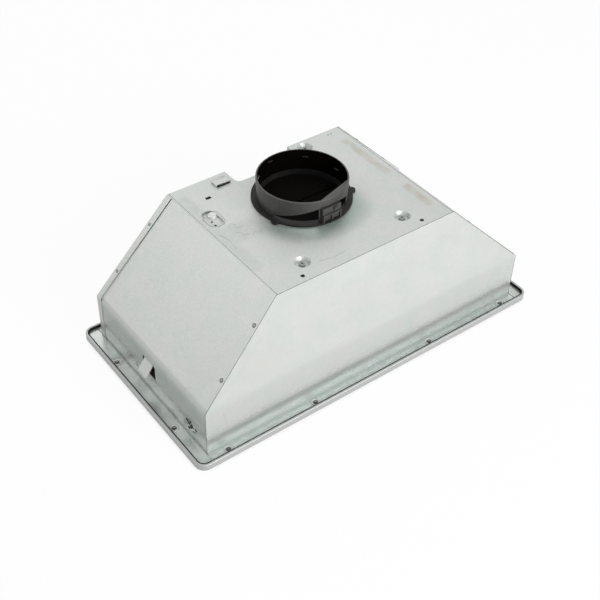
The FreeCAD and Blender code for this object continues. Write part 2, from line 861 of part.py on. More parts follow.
def collar_flange():
    """The fixed ring on the plate, with a throat through the duct hole and a ledge for the flaps."""
    ledge_inner = THROAT_INNER - s.ledge_width
    low = PLATE_TOP - s.throat_drop
    ring = turned("collar_ring", [
        (ledge_inner, low),
        (THROAT_RADIUS, low),
        (THROAT_RADIUS, PLATE_TOP),
        (COLLAR_RADIUS, PLATE_TOP),
        (COLLAR_RADIUS, RING_TOP),
        (THROAT_INNER, RING_TOP),
        (THROAT_INNER, low + s.ledge_height),
        (ledge_inner, low + s.ledge_height),
    ], at=(0, s.collar_y, 0))
    pieces = [ring]
    for angle in LUG_ANGLES:
        x, y = around(angle, 1)
        at = (COLLAR_RADIUS * x, s.collar_y + COLLAR_RADIUS * y, PLATE_TOP)
        pieces.append(rod("collar_lug", at, s.lug_radius, s.collar_ring_height))
    bore = rod("rod_bore", (-THROAT_RADIUS, s.collar_y, ROD_Z), s.rod_radius, THROAT_RADIUS * 2, ALONG_X)
    trim("collar_flange", join("collar_lugged", *pieces), bore)


def sector(name, start, sweep, inner, outer, low, height):
    """A wall-thick sector round the collar's axis."""
    turn = Rotation(Vector(0, 0, 1), start)
    at = (0, s.collar_y, low)
    whole = rod(f"{name}_whole", at, outer, height, turn, sweep)
    return trim(name, whole, rod(f"{name}_core", at, inner, height))


def sloped_window(name, middle, sweep, first, last):
    """A tool for a window whose upper edge slopes round the wall, between two heights over the plate."""
    reach = s.spigot_radius * 2
    chord = 2 * number(s.spigot_radius) * math.sin(math.radians(sweep / 2))
    tilt = math.degrees(math.atan2(number(last) - number(first), chord))
    turn = Rotation(Vector(0, 0, 1), middle) * Rotation(Vector(1, 0, 0), tilt)
    # the box hangs below its own top plane, which tilts about the radial line through the window
    tool = doc.addObject("Part::Box", f"{name}_box")
    bind(tool, "Length", reach)
    bind(tool, "Width", reach)
    bind(tool, "Height", s.spigot_height)
    shift = turn.multVec(Vector(0, -number(reach) / 2, -number(s.spigot_height)))
    edge = PLATE_TOP + (first + last) / 2
    place(tool, (shift.x, s.collar_y + shift.y, edge + shift.z), turn)
    start = Rotation(Vector(0, 0, 1), middle - sweep / 2)
    wedge = rod(f"{name}_wedge", (0, s.collar_y, RING_TOP), s.spigot_radius * 1.2, s.spigot_height,
                start, sweep)
    return overlap(name, tool, wedge)


def latch_block():
    """The ribbed block at the spigot's front: a plate with a ledge, ribs and a stop."""
    half = s.latch_width / 2
    face = s.collar_y - s.spigot_radius
    front = face - s.latch_depth
    back = face + s.spigot_wall
    pieces = [
        block_between("latch_plate", (-half, front + s.latch_plate_set, RING_TOP),
                      (half, back, RING_TOP + s.latch_height)),
        block_between("latch_ledge", (-half, front, RING_TOP + s.latch_ledge_low),
                      (half, back, RING_TOP + s.latch_ledge_low + s.latch_ledge_height)),
    ]
    rib_reach = half - s.latch_rib_inset
    for i in (-1, 0, 1):
        pieces.append(block("latch_rib", (rib_reach * i - s.latch_rib_width / 2, front, RING_TOP),
                            (s.latch_rib_width, s.latch_depth, s.latch_ledge_low + s.latch_ledge_height / 2)))
    pieces.append(block("latch_stop", (s.latch_stop_x, front, RING_TOP + s.latch_stop_low),
                        (s.latch_stop_width, s.latch_depth, s.latch_stop_height)))
    return pieces


def duct_collar():
    """The spigot that the duct slides over, with two windows, a ribbed latch block and an inner shelf."""
    top = PLATE_TOP + s.spigot_height
    neck = s.spigot_radius - s.band_step
    wall = turned("spigot_wall_ring", [
        (SPIGOT_INNER, RING_TOP),
        (neck, RING_TOP),
        (neck, PLATE_TOP + s.band_low),
        (s.spigot_radius, PLATE_TOP + s.band_low),
        (s.spigot_radius, top - s.spigot_chamfer),
        (s.spigot_radius - s.spigot_chamfer, top),
        (SPIGOT_INNER, top),
    ], at=(0, s.collar_y, 0))
    large = sloped_window("large_window", LARGE_WINDOW_MIDDLE, LARGE_WINDOW_SWEEP,
                          s.large_window_first, s.large_window_last)
    small = sloped_window("small_window", SMALL_WINDOW_MIDDLE, SMALL_WINDOW_SWEEP,
                          s.small_window_first, s.small_window_last)
    pieces = [trim("spigot_windowed", wall, large, small), *latch_block()]

    shelf_z = PLATE_TOP + s.shelf_height
    anchor = SPIGOT_INNER + s.spigot_wall / 2
    disc = rod("shelf_disc", (0, s.collar_y, shelf_z), anchor, s.shelf_thickness)
    turn = Rotation(Vector(0, 0, 1), SHELF_MIDDLE)
    keep = doc.addObject("Part::Box", "shelf_keep")
    for prop, value in (("Length", 1), ("Width", 2), ("Height", 1)):
        bind(keep, prop, s.spigot_radius * value)
    corner = turn.multVec(Vector(1, 0, 0))
    side = turn.multVec(Vector(0, 1, 0))
    distance = s.spigot_radius - s.shelf_reach
    place(keep, (distance * corner.x - s.spigot_radius * side.x,
                 s.collar_y + distance * corner.y - s.spigot_radius * side.y,
                 shelf_z - OVERSHOOT), turn)
    pieces.append(overlap("collar_shelf", disc, keep))
    for angle, low in BOSSES:
        pieces.append(sector("collar_boss", angle - BOSS_SWEEP / 2, BOSS_SWEEP, SPIGOT_INNER - s.boss_reach,
                             anchor, PLATE_TOP + low, s.boss_height))
    join("duct_collar", *pieces)


def damper():
    """Two half-disc flaps on one rod across the throat, each with its own two knuckles."""
    rod("damper_rod", (-THROAT_RADIUS, s.collar_y, ROD_Z), s.rod_radius, THROAT_RADIUS * 2, ALONG_X)
    flap_radius = THROAT_INNER - s.flap_gap
    low = ROD_Z - s.flap_thickness / 2
    pitch = s.knuckle_length + s.knuckle_gap
    for name, side, steps in (("damper_flap_front", -1, (-2, 0)), ("damper_flap_rear", 1, (-1, 1))):
        disc = rod(f"{name}_disc", (0, s.collar_y, low), flap_radius, s.flap_thickness)
        edge = s.collar_y + s.flap_edge * side
        far = s.collar_y + THROAT_RADIUS * side
        root_y = edge + OVERSHOOT * side
        span = (edge, far) if side > 0 else (far, edge)
        half = block_between(f"{name}_half", (-THROAT_RADIUS, span[0], low - OVERSHOOT),
                             (THROAT_RADIUS, span[1], low + s.flap_thickness + OVERSHOOT))
        pieces = [overlap(f"{name}_leaf", disc, half)]
        bores = []
        for step in steps:
            start = pitch * step + s.knuckle_gap / 2
            pieces.append(rod(f"{name}_knuckle", (start, s.collar_y, ROD_Z), s.knuckle_radius,
                              s.knuckle_length, ALONG_X))
            web = (s.collar_y, root_y) if side > 0 else (root_y, s.collar_y)
            pieces.append(block_between(f"{name}_web", (start, web[0], low),
                                        (start + s.knuckle_length, web[1], low + s.flap_thickness)))
            bores.append(rod(f"{name}_bore", (start - OVERSHOOT, s.collar_y, ROD_Z),
                             s.rod_radius + s.rod_clearance, s.knuckle_length + OVERSHOOT * 2, ALONG_X))
        trim(name, join(f"{name}_solid", *pieces), *bores)


# ---------------------------------------------------------------- blower

OUTLET_HALF = THROAT_RADIUS + s.outlet_margin
VOLUTE_Y = s.collar_y + OUTLET_HALF - s.volute_radius
VOLUTE_Z = s.volute_low + s.volute_radius
FAN_Y = VOLUTE_Y - s.volute_step / 2
FAN_Z = VOLUTE_Z - s.fan_drop
FAN_HALF_WIDTH = s.volute_half_width - s.volute_wall - s.inlet_lip - s.fan_end_gap
MOTOR_START = s.hub_half_length + s.hub_gap + s.bearing_length
ARM_REACH = s.inlet_radius + s.arm_margin
ARM_ANGLES = (90, 210, 330)      # the bracket's arms, in degrees from the +Y side


def scroll(name, low_x, width, wall, top):
    """The volute's outline from three quarter circles of shrinking radius and the outlet above them."""
    radius = s.volute_radius
    quarters = (
        (VOLUTE_Y, VOLUTE_Z, radius, 0),
        (VOLUTE_Y, VOLUTE_Z - s.volute_step, radius - s.volute_step, -90),
        (VOLUTE_Y - s.volute_step, VOLUTE_Z - s.volute_step, radius - s.volute_step * 2, -180),
    )
    pieces = []
    for y, z, size, start in quarters:
        turn = ALONG_X * Rotation(Vector(0, 0, 1), start)
        pieces.append(rod(f"{name}_quarter", (low_x, y, z), size - wall, width, turn, 90))
    front = s.collar_y - OUTLET_HALF + wall
    high_x = low_x + width
    pieces.append(block_between(f"{name}_middle", (low_x, front, VOLUTE_Z - s.volute_step),
                                (high_x, VOLUTE_Y, top)))
    pieces.append(block_between(f"{name}_outlet", (low_x, VOLUTE_Y, VOLUTE_Z),
                                (high_x, VOLUTE_Y + radius - wall, top)))
    return join(name, *pieces)


def volute():
    """Two half shells that meet on the middle plane, each with an inlet ring in its side."""
    zero = Size(0, "0")
    outer = scroll("volute_outside", zero, s.volute_half_width, zero, PLATE_UNDER)
    inner = scroll("volute_inside", zero - OVERSHOOT, s.volute_half_width - s.volute_wall + OVERSHOOT,
                   s.volute_wall, PLATE_UNDER + OVERSHOOT)
    side = s.volute_half_width - s.volute_wall
    drill_length = s.volute_wall + OVERSHOOT * 2
    lip = rod("inlet_lip_ring", (side - s.inlet_lip, FAN_Y, FAN_Z), s.inlet_radius + s.volute_wall,
              s.inlet_lip, ALONG_X)
    inlet = rod("inlet_hole", (side - s.inlet_lip - OVERSHOOT, FAN_Y, FAN_Z), s.inlet_radius,
                s.inlet_lip + drill_length, ALONG_X)
    shell = join("volute_lipped", trim("volute_shell", outer, inner), lip)
    hanger_drills = [rod("volute_drill", (side - OVERSHOOT, y, z), s.screw_radius, drill_length, ALONG_X)
                     for y, z in hanger_screw_points()]
    bracket_drills = [rod("bracket_drill", (side - OVERSHOOT, y, z), s.screw_radius, drill_length, ALONG_X)
                      for y, z in arm_points()]
    trim("volute_right", shell, inlet, *hanger_drills, *bracket_drills)
    mirror("volute_left", trim("volute_left_blank", shell, inlet, *hanger_drills))


def fan_wheel():
    """The double-inlet fan wheel: a middle disc with its hub, and on its edge a cage of blades and rings."""
    blade_root = s.fan_radius - s.blade_depth
    blade_tip = s.fan_radius - s.blade_rim_gap

    def ring(body, name, points):
        """A turned feature of a body, from its outline of (radius, height) corners."""
        sketch = outline_sketch(body, "XZ_Plane", points)
        feature = body.newObject("PartDesign::Revolution", name)
        feature.Profile = sketch
        feature.ReferenceAxis = (sketch, ["V_Axis"])
        feature.Angle = 360
        body.Tip = feature

    hub = doc.addObject("PartDesign::Body", "fan_hub")
    ring(hub, "hub_disc", [
        (s.shaft_radius, -s.hub_half_length),
        (s.hub_radius, -s.hub_half_length),
        (s.hub_radius, -s.fan_disc / 2),
        (blade_root, -s.fan_disc / 2),
        (blade_root, s.fan_disc / 2),
        (s.hub_radius, s.fan_disc / 2),
        (s.hub_radius, s.hub_half_length),
        (s.shaft_radius, s.hub_half_length),
    ])

    cage = doc.addObject("PartDesign::Body", "fan_blades")

    def cage_ring(name, middle, thickness):
        """A flat ring of the cage, as wide as the blades are deep."""
        low = middle - thickness / 2
        high = middle + thickness / 2
        ring(cage, name, [(blade_root, low), (s.fan_radius, low), (s.fan_radius, high), (blade_root, high)])

    cage_ring("middle_ring", Size(0, "0"), s.fan_disc)
    blade_sketch = outline_sketch(cage, "XY_Plane", [
        (blade_root, 0),
        (blade_tip, s.blade_depth / 2),
        (blade_tip, s.blade_depth / 2 + s.blade_thickness),
        (blade_root, s.blade_thickness),
    ])
    blade = cage.newObject("PartDesign::Pad", "cage_blade")
    blade.Profile = blade_sketch
    blade.Midplane = True
    bind(blade, "Length", FAN_HALF_WIDTH * 2 - s.fan_ring)
    pattern = cage.newObject("PartDesign::PolarPattern", "cage_blades")
    pattern.Originals = [blade]
    pattern.Axis = (blade_sketch, ["N_Axis"])
    pattern.Angle = 360
    pattern.Occurrences = int(SIZES["blade_count"])
    cage.Tip = pattern
    for side in (-1, 1):
        cage_ring("end_ring", (FAN_HALF_WIDTH - s.fan_ring / 2) * side, s.fan_ring)

    for body in (hub, cage):
        place(body, (0, FAN_Y, FAN_Z), ALONG_X)


def motor():
    """The motor in the right half of the wheel, with its shaft, bracket, rubber bushes and screws."""
    end = MOTOR_START + s.motor_length
    bore = s.shaft_radius + s.shaft_clearance
    chamfer = s.motor_chamfer
    turned("motor_housing", [
        (bore, MOTOR_START - s.bearing_length),
        (s.bearing_radius, MOTOR_START - s.bearing_length),
        (s.bearing_radius, MOTOR_START),
        (s.motor_radius - chamfer, MOTOR_START),
        (s.motor_radius, MOTOR_START + chamfer),
        (s.motor_radius, end - chamfer),
        (s.motor_radius - chamfer, end),
        (s.bearing_radius, end),
        (s.bearing_radius, end + s.bearing_length),
        (bore, end + s.bearing_length),
    ], at=(0, FAN_Y, FAN_Z), turn=ALONG_X)
    rod("motor_shaft", (-s.shaft_tail, FAN_Y, FAN_Z), s.shaft_radius,
        s.shaft_tail + end + s.bearing_length - s.shaft_inset, ALONG_X)

    side = s.volute_half_width
    face = side + s.bush_height
    through = s.bracket_sheet + OVERSHOOT * 2
    outer = rod("bracket_band_outer", (face, FAN_Y, FAN_Z), s.motor_radius + s.bracket_band,
                s.bracket_sheet, ALONG_X)
    inner = rod("bracket_band_inner", (face - OVERSHOOT, FAN_Y, FAN_Z), s.motor_radius, through, ALONG_X)
    arms = []
    start = s.motor_radius + s.bracket_band / 4
    for y, z in arm_directions():
        arm = doc.addObject("Part::Box", "bracket_arm")
        bind(arm, "Length", s.bracket_sheet)
        bind(arm, "Width", ARM_REACH + s.arm_width / 2 - start)
        bind(arm, "Height", s.arm_width)
        turn = Rotation(Vector(1, 0, 0), math.degrees(math.atan2(z, y)))
        corner_y = FAN_Y + start * y + s.arm_width / 2 * z
        corner_z = FAN_Z + start * z - s.arm_width / 2 * y
        place(arm, (face, corner_y, corner_z), turn)
        arms.append(arm)
    holes = [rod("arm_hole", (face - OVERSHOOT, y, z), s.screw_radius, through, ALONG_X)
             for y, z in arm_points()]
    band = trim("bracket_band_ring", outer, inner)
    trim("motor_bracket", join("bracket_whole", band, *arms), *holes)

    bushes = []
    screws = []
    grip = s.bush_height + s.bracket_sheet + s.volute_wall
    for y, z in arm_points():
        rubber = rod("bush_outer", (side, y, z), s.bush_radius, s.bush_height, ALONG_X)
        hole = rod("bush_hole", (side - OVERSHOOT, y, z), s.screw_radius, s.bush_height + OVERSHOOT * 2,
                   ALONG_X)
        bushes.append(trim("bush", rubber, hole))
        screws.append(screw("motor_screw", (face + s.bracket_sheet, y, z), grip))
    group("motor_bushes", bushes)
    group("motor_screws", screws)


def arm_directions():
    """Unit directions of the bracket's three arms in the (y, z) plane."""
    return [(math.cos(math.radians(angle)), math.sin(math.radians(angle))) for angle in ARM_ANGLES]


def arm_points():
    """The (y, z) places of the bracket's screws."""
    return [(FAN_Y + ARM_REACH * y, FAN_Z + ARM_REACH * z) for y, z in arm_directions()]


def screw(name, face, depth, turn=ALONG_X):
    """A pan head screw that stands on a face and reaches into it, along the turned axis."""
    back = turn.multVec(Vector(0, 0, -1))
    foot = tuple(a + depth * b for a, b in zip(face, back))
    head = rod(f"{name}_head", face, s.screw_head, s.screw_head_height, turn)
    shank = rod(f"{name}_shank", foot, s.screw_radius, depth, turn)
    return join(name, head, shank)


def hanger_screw_points():
    """The (y, z) places of the screws between each hanger and the volute."""
    front = VOLUTE_Y - s.volute_radius + s.volute_step * 2 + s.leg_screw_inset
    back = VOLUTE_Y + s.volute_radius - s.beam_screw_inset
    return [(front, s.hanger_low + s.hanger_leg / 2), (back, SEAT_UNDER - s.hanger_beam / 2)]


def hangers():
    """The sheet hangers that carry the blower under the seats of the top plate."""
    leg = hanger_screw_points()[0][0]
    side = s.volute_half_width
    beam_low = SEAT_UNDER - s.hanger_beam
    foot_y = -SEAT_Y - s.foot_depth / 2

    def hanger(name, rear):
        """One hanger in the right hand, whose beam ends at the given Y."""
        return plate(name, "YZ_Plane", [
            (foot_y, SEAT_UNDER),
            (rear, SEAT_UNDER),
            (rear, beam_low),
            (leg + s.hanger_leg / 2, beam_low),
            (leg + s.hanger_leg / 2, s.hanger_low),
            (leg - s.hanger_leg / 2, s.hanger_low),
            (leg - s.hanger_leg / 2, beam_low),
            (foot_y, beam_low),
        ], side, s.hanger_sheet)

    def foot(name, x, y):
        """The flange of a hanger under one seat."""
        return block(name, (side, y - s.foot_depth / 2, SEAT_UNDER - s.hanger_sheet),
                     (x + s.screw_head * 2 - side, s.foot_depth, s.hanger_sheet))

    through = s.hanger_sheet + OVERSHOOT * 2
    drills = [rod("hanger_drill", (side - OVERSHOOT, y, z), s.screw_radius, through, ALONG_X)
              for y, z in hanger_screw_points()]
    seats = [rod("foot_drill", (x, y, SEAT_UNDER - s.hanger_sheet - OVERSHOOT), s.screw_radius, through)
             for x, y in seat_points()[1:]]
    right = join("hanger_right_bent", hanger("hanger_right_sheet", REAR_SEAT_Y + s.foot_depth / 2),
                 foot("front_foot", SEAT_X, -SEAT_Y), foot("rear_foot", REAR_SEAT_X, REAR_SEAT_Y))
    trim("hanger_right", right, *drills, *seats)
    left = join("hanger_left_bent", hanger("hanger_left_sheet", VOLUTE_Y + s.volute_radius),
                foot("left_foot", SEAT_X, -SEAT_Y))
    mirror("hanger_left", trim("hanger_left_blank", left, *drills, seats[0]))

    heads = [screw("hanger_screw", (side + s.hanger_sheet, y, z), s.hanger_sheet + s.volute_wall)
             for y, z in hanger_screw_points()]
    mirrored = [mirror("hanger_screw_left", head) for head in heads]
    group("hanger_screws", heads + mirrored)
    grip = s.sheet + s.hanger_sheet + s.seat_screw_tail
    group("seat_screws", [screw("seat_screw", (x, y, PLATE_TOP - s.seat_depth), grip, UPRIGHT)
                          for x, y in seat_points()])


def capacitor():
    """The motor's capacitor under the top plate, held by a bent strap."""
    z = PLATE_UNDER - s.capacitor_radius
    start = (-s.capacitor_x, -s.capacitor_y - s.capacitor_length / 2, z)
    chamfer = s.capacitor_chamfer
    turned("capacitor", [
        (Size(0, "0"), 0),
        (s.capacitor_radius - chamfer, 0),
        (s.capacitor_radius, chamfer),
        (s.capacitor_radius, s.capacitor_length - chamfer),
        (s.capacitor_radius - chamfer, s.capacitor_length),
        (Size(0, "0"), s.capacitor_length),
    ], at=start, turn=ALONG_Y)
    x = -s.capacitor_x
    y = -s.capacitor_y - s.strap_width / 2
    half = s.capacitor_radius + s.strap_thickness
    through = s.strap_width + OVERSHOOT * 2
    band = rod("strap_band", (x, y, z), half, s.strap_width, ALONG_Y)
    cheeks = block("strap_cheeks", (x - half, y, z), (half * 2, s.strap_width, s.capacitor_radius))
    feet = block("strap_feet", (x - half - s.strap_foot, y, PLATE_UNDER - s.strap_thickness),
                 (half * 2 + s.strap_foot * 2, s.strap_width, s.strap_thickness))
    core = rod("strap_core", (x, y - OVERSHOOT, z), s.capacitor_radius, through, ALONG_Y)
    room = block("strap_room", (x - s.capacitor_radius, y - OVERSHOOT, z),
                 (s.capacitor_radius * 2, through, s.capacitor_radius + OVERSHOOT))
    above = block("strap_above", (x - s.capacitor_radius * 2, y - OVERSHOOT, PLATE_UNDER),
                  (s.capacitor_radius * 4, through, s.capacitor_radius))
    trim("capacitor_strap", join("strap_bent", band, cheeks, feet), core, room, above)


# ---------------------------------------------------------------- electrics and controls

JUNCTION_TOP = s.recess_floor - s.sheet
JUNCTION_BACK = BASE_Y - s.sheet
JUNCTION_FRONT = JUNCTION_BACK - s.junction_depth
GLAND_Y = JUNCTION_BACK - s.junction_depth / 2


def electrics():
    """The mains box on the back panel, under the recess, with its cover, terminals and cable gland."""
    half = s.junction_length / 2
    low = JUNCTION_TOP - s.junction_height
    wall = s.junction_wall
    outside = block_between("junction_outside", (-half, JUNCTION_FRONT, low),
                            (half, JUNCTION_BACK, JUNCTION_TOP))
    inside = block_between("junction_inside", (wall - half, JUNCTION_FRONT - OVERSHOOT, low + wall),
                           (half - wall, JUNCTION_BACK - wall, JUNCTION_TOP - wall))
    entry = rod("junction_entry", (0, GLAND_Y, JUNCTION_TOP - wall - OVERSHOOT), s.gland_thread,
                wall + OVERSHOOT * 2)
    trim("junction_box", outside, inside, entry)
    block_between("junction_cover", (-half, JUNCTION_FRONT - s.cover_thickness, low),
                  (half, JUNCTION_FRONT, JUNCTION_TOP))
    terminal_low = low + s.junction_height / 3
    terminal_front = JUNCTION_BACK - wall - s.terminal_depth
    strip = block("terminal_strip", (-s.terminal_length / 2, terminal_front, terminal_low),
                  (s.terminal_length, s.terminal_depth, s.terminal_height))
    ways = int(SIZES["terminal_ways"])
    holes = []
    for i in range(ways):
        x = s.terminal_length / ways * (i - (ways - 1) / 2)
        at = (x, terminal_front - OVERSHOOT, terminal_low + s.terminal_height / 2)
        holes.append(rod("terminal_hole", at, s.screw_radius, s.terminal_depth / 2 + OVERSHOOT, ALONG_Y))
    trim("terminal_block", strip, *holes)

    nut_top = JUNCTION_TOP - wall
    nut_low = nut_top - s.gland_nut_height
    gland_top = s.recess_floor + s.gland_height
    turned("cable_gland", [
        (s.gland_bore, nut_low - s.gland_tail),
        (s.gland_thread, nut_low - s.gland_tail),
        (s.gland_thread, s.recess_floor),
        (s.gland_radius, s.recess_floor),
        (s.gland_radius, gland_top - s.gland_chamfer),
        (s.gland_radius - s.gland_chamfer, gland_top),
        (s.gland_bore, gland_top),
    ], at=(0, GLAND_Y, 0))
    turned("gland_nut", [
        (s.gland_thread, nut_low),
        (s.gland_nut, nut_low),
        (s.gland_nut, nut_top),
        (s.gland_thread, nut_top),
    ], at=(0, GLAND_Y, 0))


BUTTON_NAMES = ("lamp_button", "off_button", "low_speed_button", "medium_speed_button", "high_speed_button")


def controls():
    """The row of push buttons in its bezel, with the switch housing, circuit board and tact switches."""
    bezel_length = s.button_pitch * (BUTTON_COUNT - 1) + s.bezel_end * 2
    bezel = obround("bezel_blank", (0, -CONTROL_Y, s.panel_rise - s.bezel_thickness), bezel_length,
                    s.bezel_depth, s.bezel_thickness)
    hole = s.button_radius + s.button_clearance
    holes = [rod("bezel_hole", (x, -CONTROL_Y, 0), hole, PANEL_TOP) for x in button_places()]
    trim("control_bezel", bezel, *holes)

    collar_low = PANEL_TOP + s.button_rest
    collar_high = collar_low + s.button_collar_height
    collar = s.button_radius + s.button_collar_width
    button_top = s.board_height - s.tact_height - s.tact_gap - s.button_travel
    for name, x in zip(BUTTON_NAMES, button_places()):
        turned(name, [
            (Size(0, "0"), s.button_low),
            (s.button_radius - s.button_chamfer, s.button_low),
            (s.button_radius, s.button_low + s.button_chamfer),
            (s.button_radius, collar_low),
            (collar, collar_low),
            (collar, collar_high),
            (s.button_stem, collar_high),
            (s.button_stem, button_top),
            (Size(0, "0"), button_top),
        ], at=(x, -CONTROL_Y, 0))

    wall = s.switch_wall
    length = bezel_length + s.switch_margin * 2
    low_x = -length / 2
    low_y = -CONTROL_Y - s.switch_depth / 2
    outside = block("switch_outside", (low_x, low_y, PANEL_TOP), (length, s.switch_depth, s.switch_height))
    inside = block("switch_inside", (low_x + wall, low_y + wall, PANEL_TOP - OVERSHOOT),
                   (length - wall * 2, s.switch_depth - wall * 2, s.switch_height - wall + OVERSHOOT))
    trim("switch_housing", outside, inside)
    block("circuit_board", (low_x + wall, low_y + wall, s.board_height),
          (length - wall * 2, s.switch_depth - wall * 2, s.board_thickness))
    tact_low = s.board_height - s.tact_height
    group("tact_switches", [block("tact_switch", (x - s.tact_side / 2, -CONTROL_Y - s.tact_side / 2, tact_low),
                                  (s.tact_side, s.tact_side, s.tact_height)) for x in button_places()])


def lamps():
    """The two lamps in the front strip: housing above the panel, LED board and frosted lens."""
    zero = Size(0, "0")
    top = PANEL_TOP + s.lamp_height
    wall = s.lamp_wall
    chamfer = s.lamp_chamfer
    led_z = PANEL_TOP + s.led_height
    lens_low = s.panel_rise - s.lens_rise
    flange = s.lamp_radius + s.lens_lip
    plug = s.lamp_radius - s.lens_clearance
    for name, side in (("left", -1), ("right", 1)):
        at = (LAMP_X * side, -CONTROL_Y, 0)
        turned(f"lamp_housing_{name}", [
            (s.lamp_radius, PANEL_TOP),
            (s.lamp_radius + wall, PANEL_TOP),
            (s.lamp_radius + wall, top - chamfer),
            (s.lamp_radius - chamfer, top),
            (zero, top),
            (zero, top - wall),
            (s.lamp_radius - chamfer - wall / 2, top - wall),
            (s.lamp_radius, top - chamfer - wall),
        ], at=at)
        turned(f"led_board_{name}", [
            (zero, led_z),
            (s.led_radius, led_z),
            (s.led_radius, led_z + s.led_thickness),
            (s.led_post, led_z + s.led_thickness),
            (s.led_post, top - wall),
            (zero, top - wall),
        ], at=at)
        turned(f"lamp_lens_{name}", [
            (zero, lens_low),
            (flange - s.lens_chamfer, lens_low),
            (flange, s.panel_rise - s.lens_rise / 2),
            (flange, s.panel_rise),
            (plug, s.panel_rise),
            (plug, PANEL_TOP + s.lens_plug),
            (zero, PANEL_TOP + s.lens_plug),
        ], at=at)


# ---------------------------------------------------------------- grease filters

def mesh_sheet(name, low, high):
    """The filter's mesh: one holed face with a hole for each cell of the grid, given its thickness."""
    columns = int(SIZES["mesh_columns"])
    rows = int(SIZES["mesh_rows"])
    edge = SIZES["mesh_wire"] / 2
    x0, y0, z0 = (number(a) for a in low)
    x1, y1, z1 = (number(a) for a in high)
    step_x = (x1 - x0) / columns
    step_y = (y1 - y0) / rows

    def rectangle(west, south, east, north):
        """A closed wire round a rectangle."""
        corners = [(west, south), (east, south), (east, north), (west, north), (west, south)]
        return Part.makePolygon([Vector(x, y, z0) for x, y in corners])

    wires = [rectangle(x0, y0, x1, y1)]
    for i in range(columns):
        for j in range(rows):
            x = x0 + step_x * i
            y = y0 + step_y * j
            wires.append(rectangle(x + edge, y + edge, x + step_x - edge, y + step_y - edge))
    item = doc.addObject("Part::Feature", name)
    item.Shape = Part.Face(wires, "Part::FaceMakerBullseye").extrude(Vector(0, 0, z1 - z0))
    item.Placement = FreeCAD.Placement()
    return item


def grease_filter(name, side):
    """One filter: channel frame with rear tabs and a latch pocket, mesh in the channel, sliding latch."""
    middle = FILTER_MIDDLE * side
    half = FILTER_LENGTH / 2
    front = FILTER_FRONT
    rear = FILTER_REAR
    low = s.filter_low
    high = low + s.filter_height
    width = s.frame_width
    lip = s.frame_lip
    groove = width - s.groove_depth

    outside = block_between(f"{name}_outside", (middle - half, front, low), (middle + half, rear, high))
    opening = block_between(f"{name}_opening", (middle - half + width, front + width, low - OVERSHOOT),
                            (middle + half - width, rear - width, high + OVERSHOOT))
    mesh_low = (middle - half + groove, front + groove, low + lip)
    mesh_high = (middle + half - groove, rear - groove, high - lip)
    channel = block_between(f"{name}_channel", mesh_low, mesh_high)
    channelled = trim(f"{name}_channelled", outside, opening, channel)

    pocket_half = s.pocket_block_length / 2
    pocket = block_between(f"{name}_pocket", (middle - pocket_half, front, low),
                           (middle + pocket_half, front + s.pocket_block_depth, high))
    tabs = []
    for i in (-1, 1):
        x = middle + half / 2 * i
        tabs.append(block(f"{name}_tab", (x - s.tab_length / 2, rear - lip, PANEL_TOP + s.tab_gap),
                          (s.tab_length, s.tab_reach + lip, s.tab_height)))

    play = s.latch_play
    slide_half = s.latch_slide_length / 2
    slide_front = front + s.latch_inset
    slide_rear = slide_front + s.latch_slide_depth
    slide_low = low + s.latch_floor
    slide_high = high - lip
    tongue_half = s.tongue_length / 2
    tongue_low = PANEL_TOP + s.tongue_gap
    finger_half = s.finger_length / 2
    finger_front = slide_front + s.finger_inset
    finger_rear = finger_front + s.finger_depth
    hatch_half = finger_half + s.finger_inset
    room = block_between(f"{name}_room", (middle - slide_half - play, slide_front - play, slide_low - play),
                         (middle + slide_half + play, slide_rear + s.latch_travel + play, slide_high + play))
    gate = block_between(f"{name}_gate", (middle - tongue_half - play, front - OVERSHOOT, tongue_low - play),
                         (middle + tongue_half + play, slide_front, slide_high + play))
    hatch_front = finger_front - s.finger_inset / 2
    hatch_rear = finger_rear + s.latch_travel + s.finger_inset
    hatch = block_between(f"{name}_hatch", (middle - hatch_half, hatch_front, low - OVERSHOOT),
                          (middle + hatch_half, hatch_rear, slide_low))
    frame = join(f"{name}_frame_solid", channelled, pocket, *tabs)
    trim(f"filter_frame_{name}", frame, room, gate, hatch)

    net = mesh_sheet(f"{name}_net", mesh_low, mesh_high)
    trim(f"filter_mesh_{name}", net, pocket)

    slide = block_between(f"{name}_slide", (middle - slide_half, slide_front, slide_low),
                          (middle + slide_half, slide_rear, slide_high))
    tongue = block_between(f"{name}_tongue", (middle - tongue_half, front - s.tongue_reach, tongue_low),
                           (middle + tongue_half, slide_front, slide_high))
    finger = block_between(f"{name}_finger", (middle - finger_half, finger_front, low + s.finger_gap),
                           (middle + finger_half, finger_rear, slide_low))
    join(f"filter_latch_{name}", slide, tongue, finger)


# ---------------------------------------------------------------- the object

fascia_panel()
casing()
side_springs()
collar_flange()
duct_collar()
damper()
volute()
fan_wheel()
motor()
hangers()
capacitor()
electrics()
controls()
lamps()
grease_filter("left", -1)
grease_filter("right", 1)

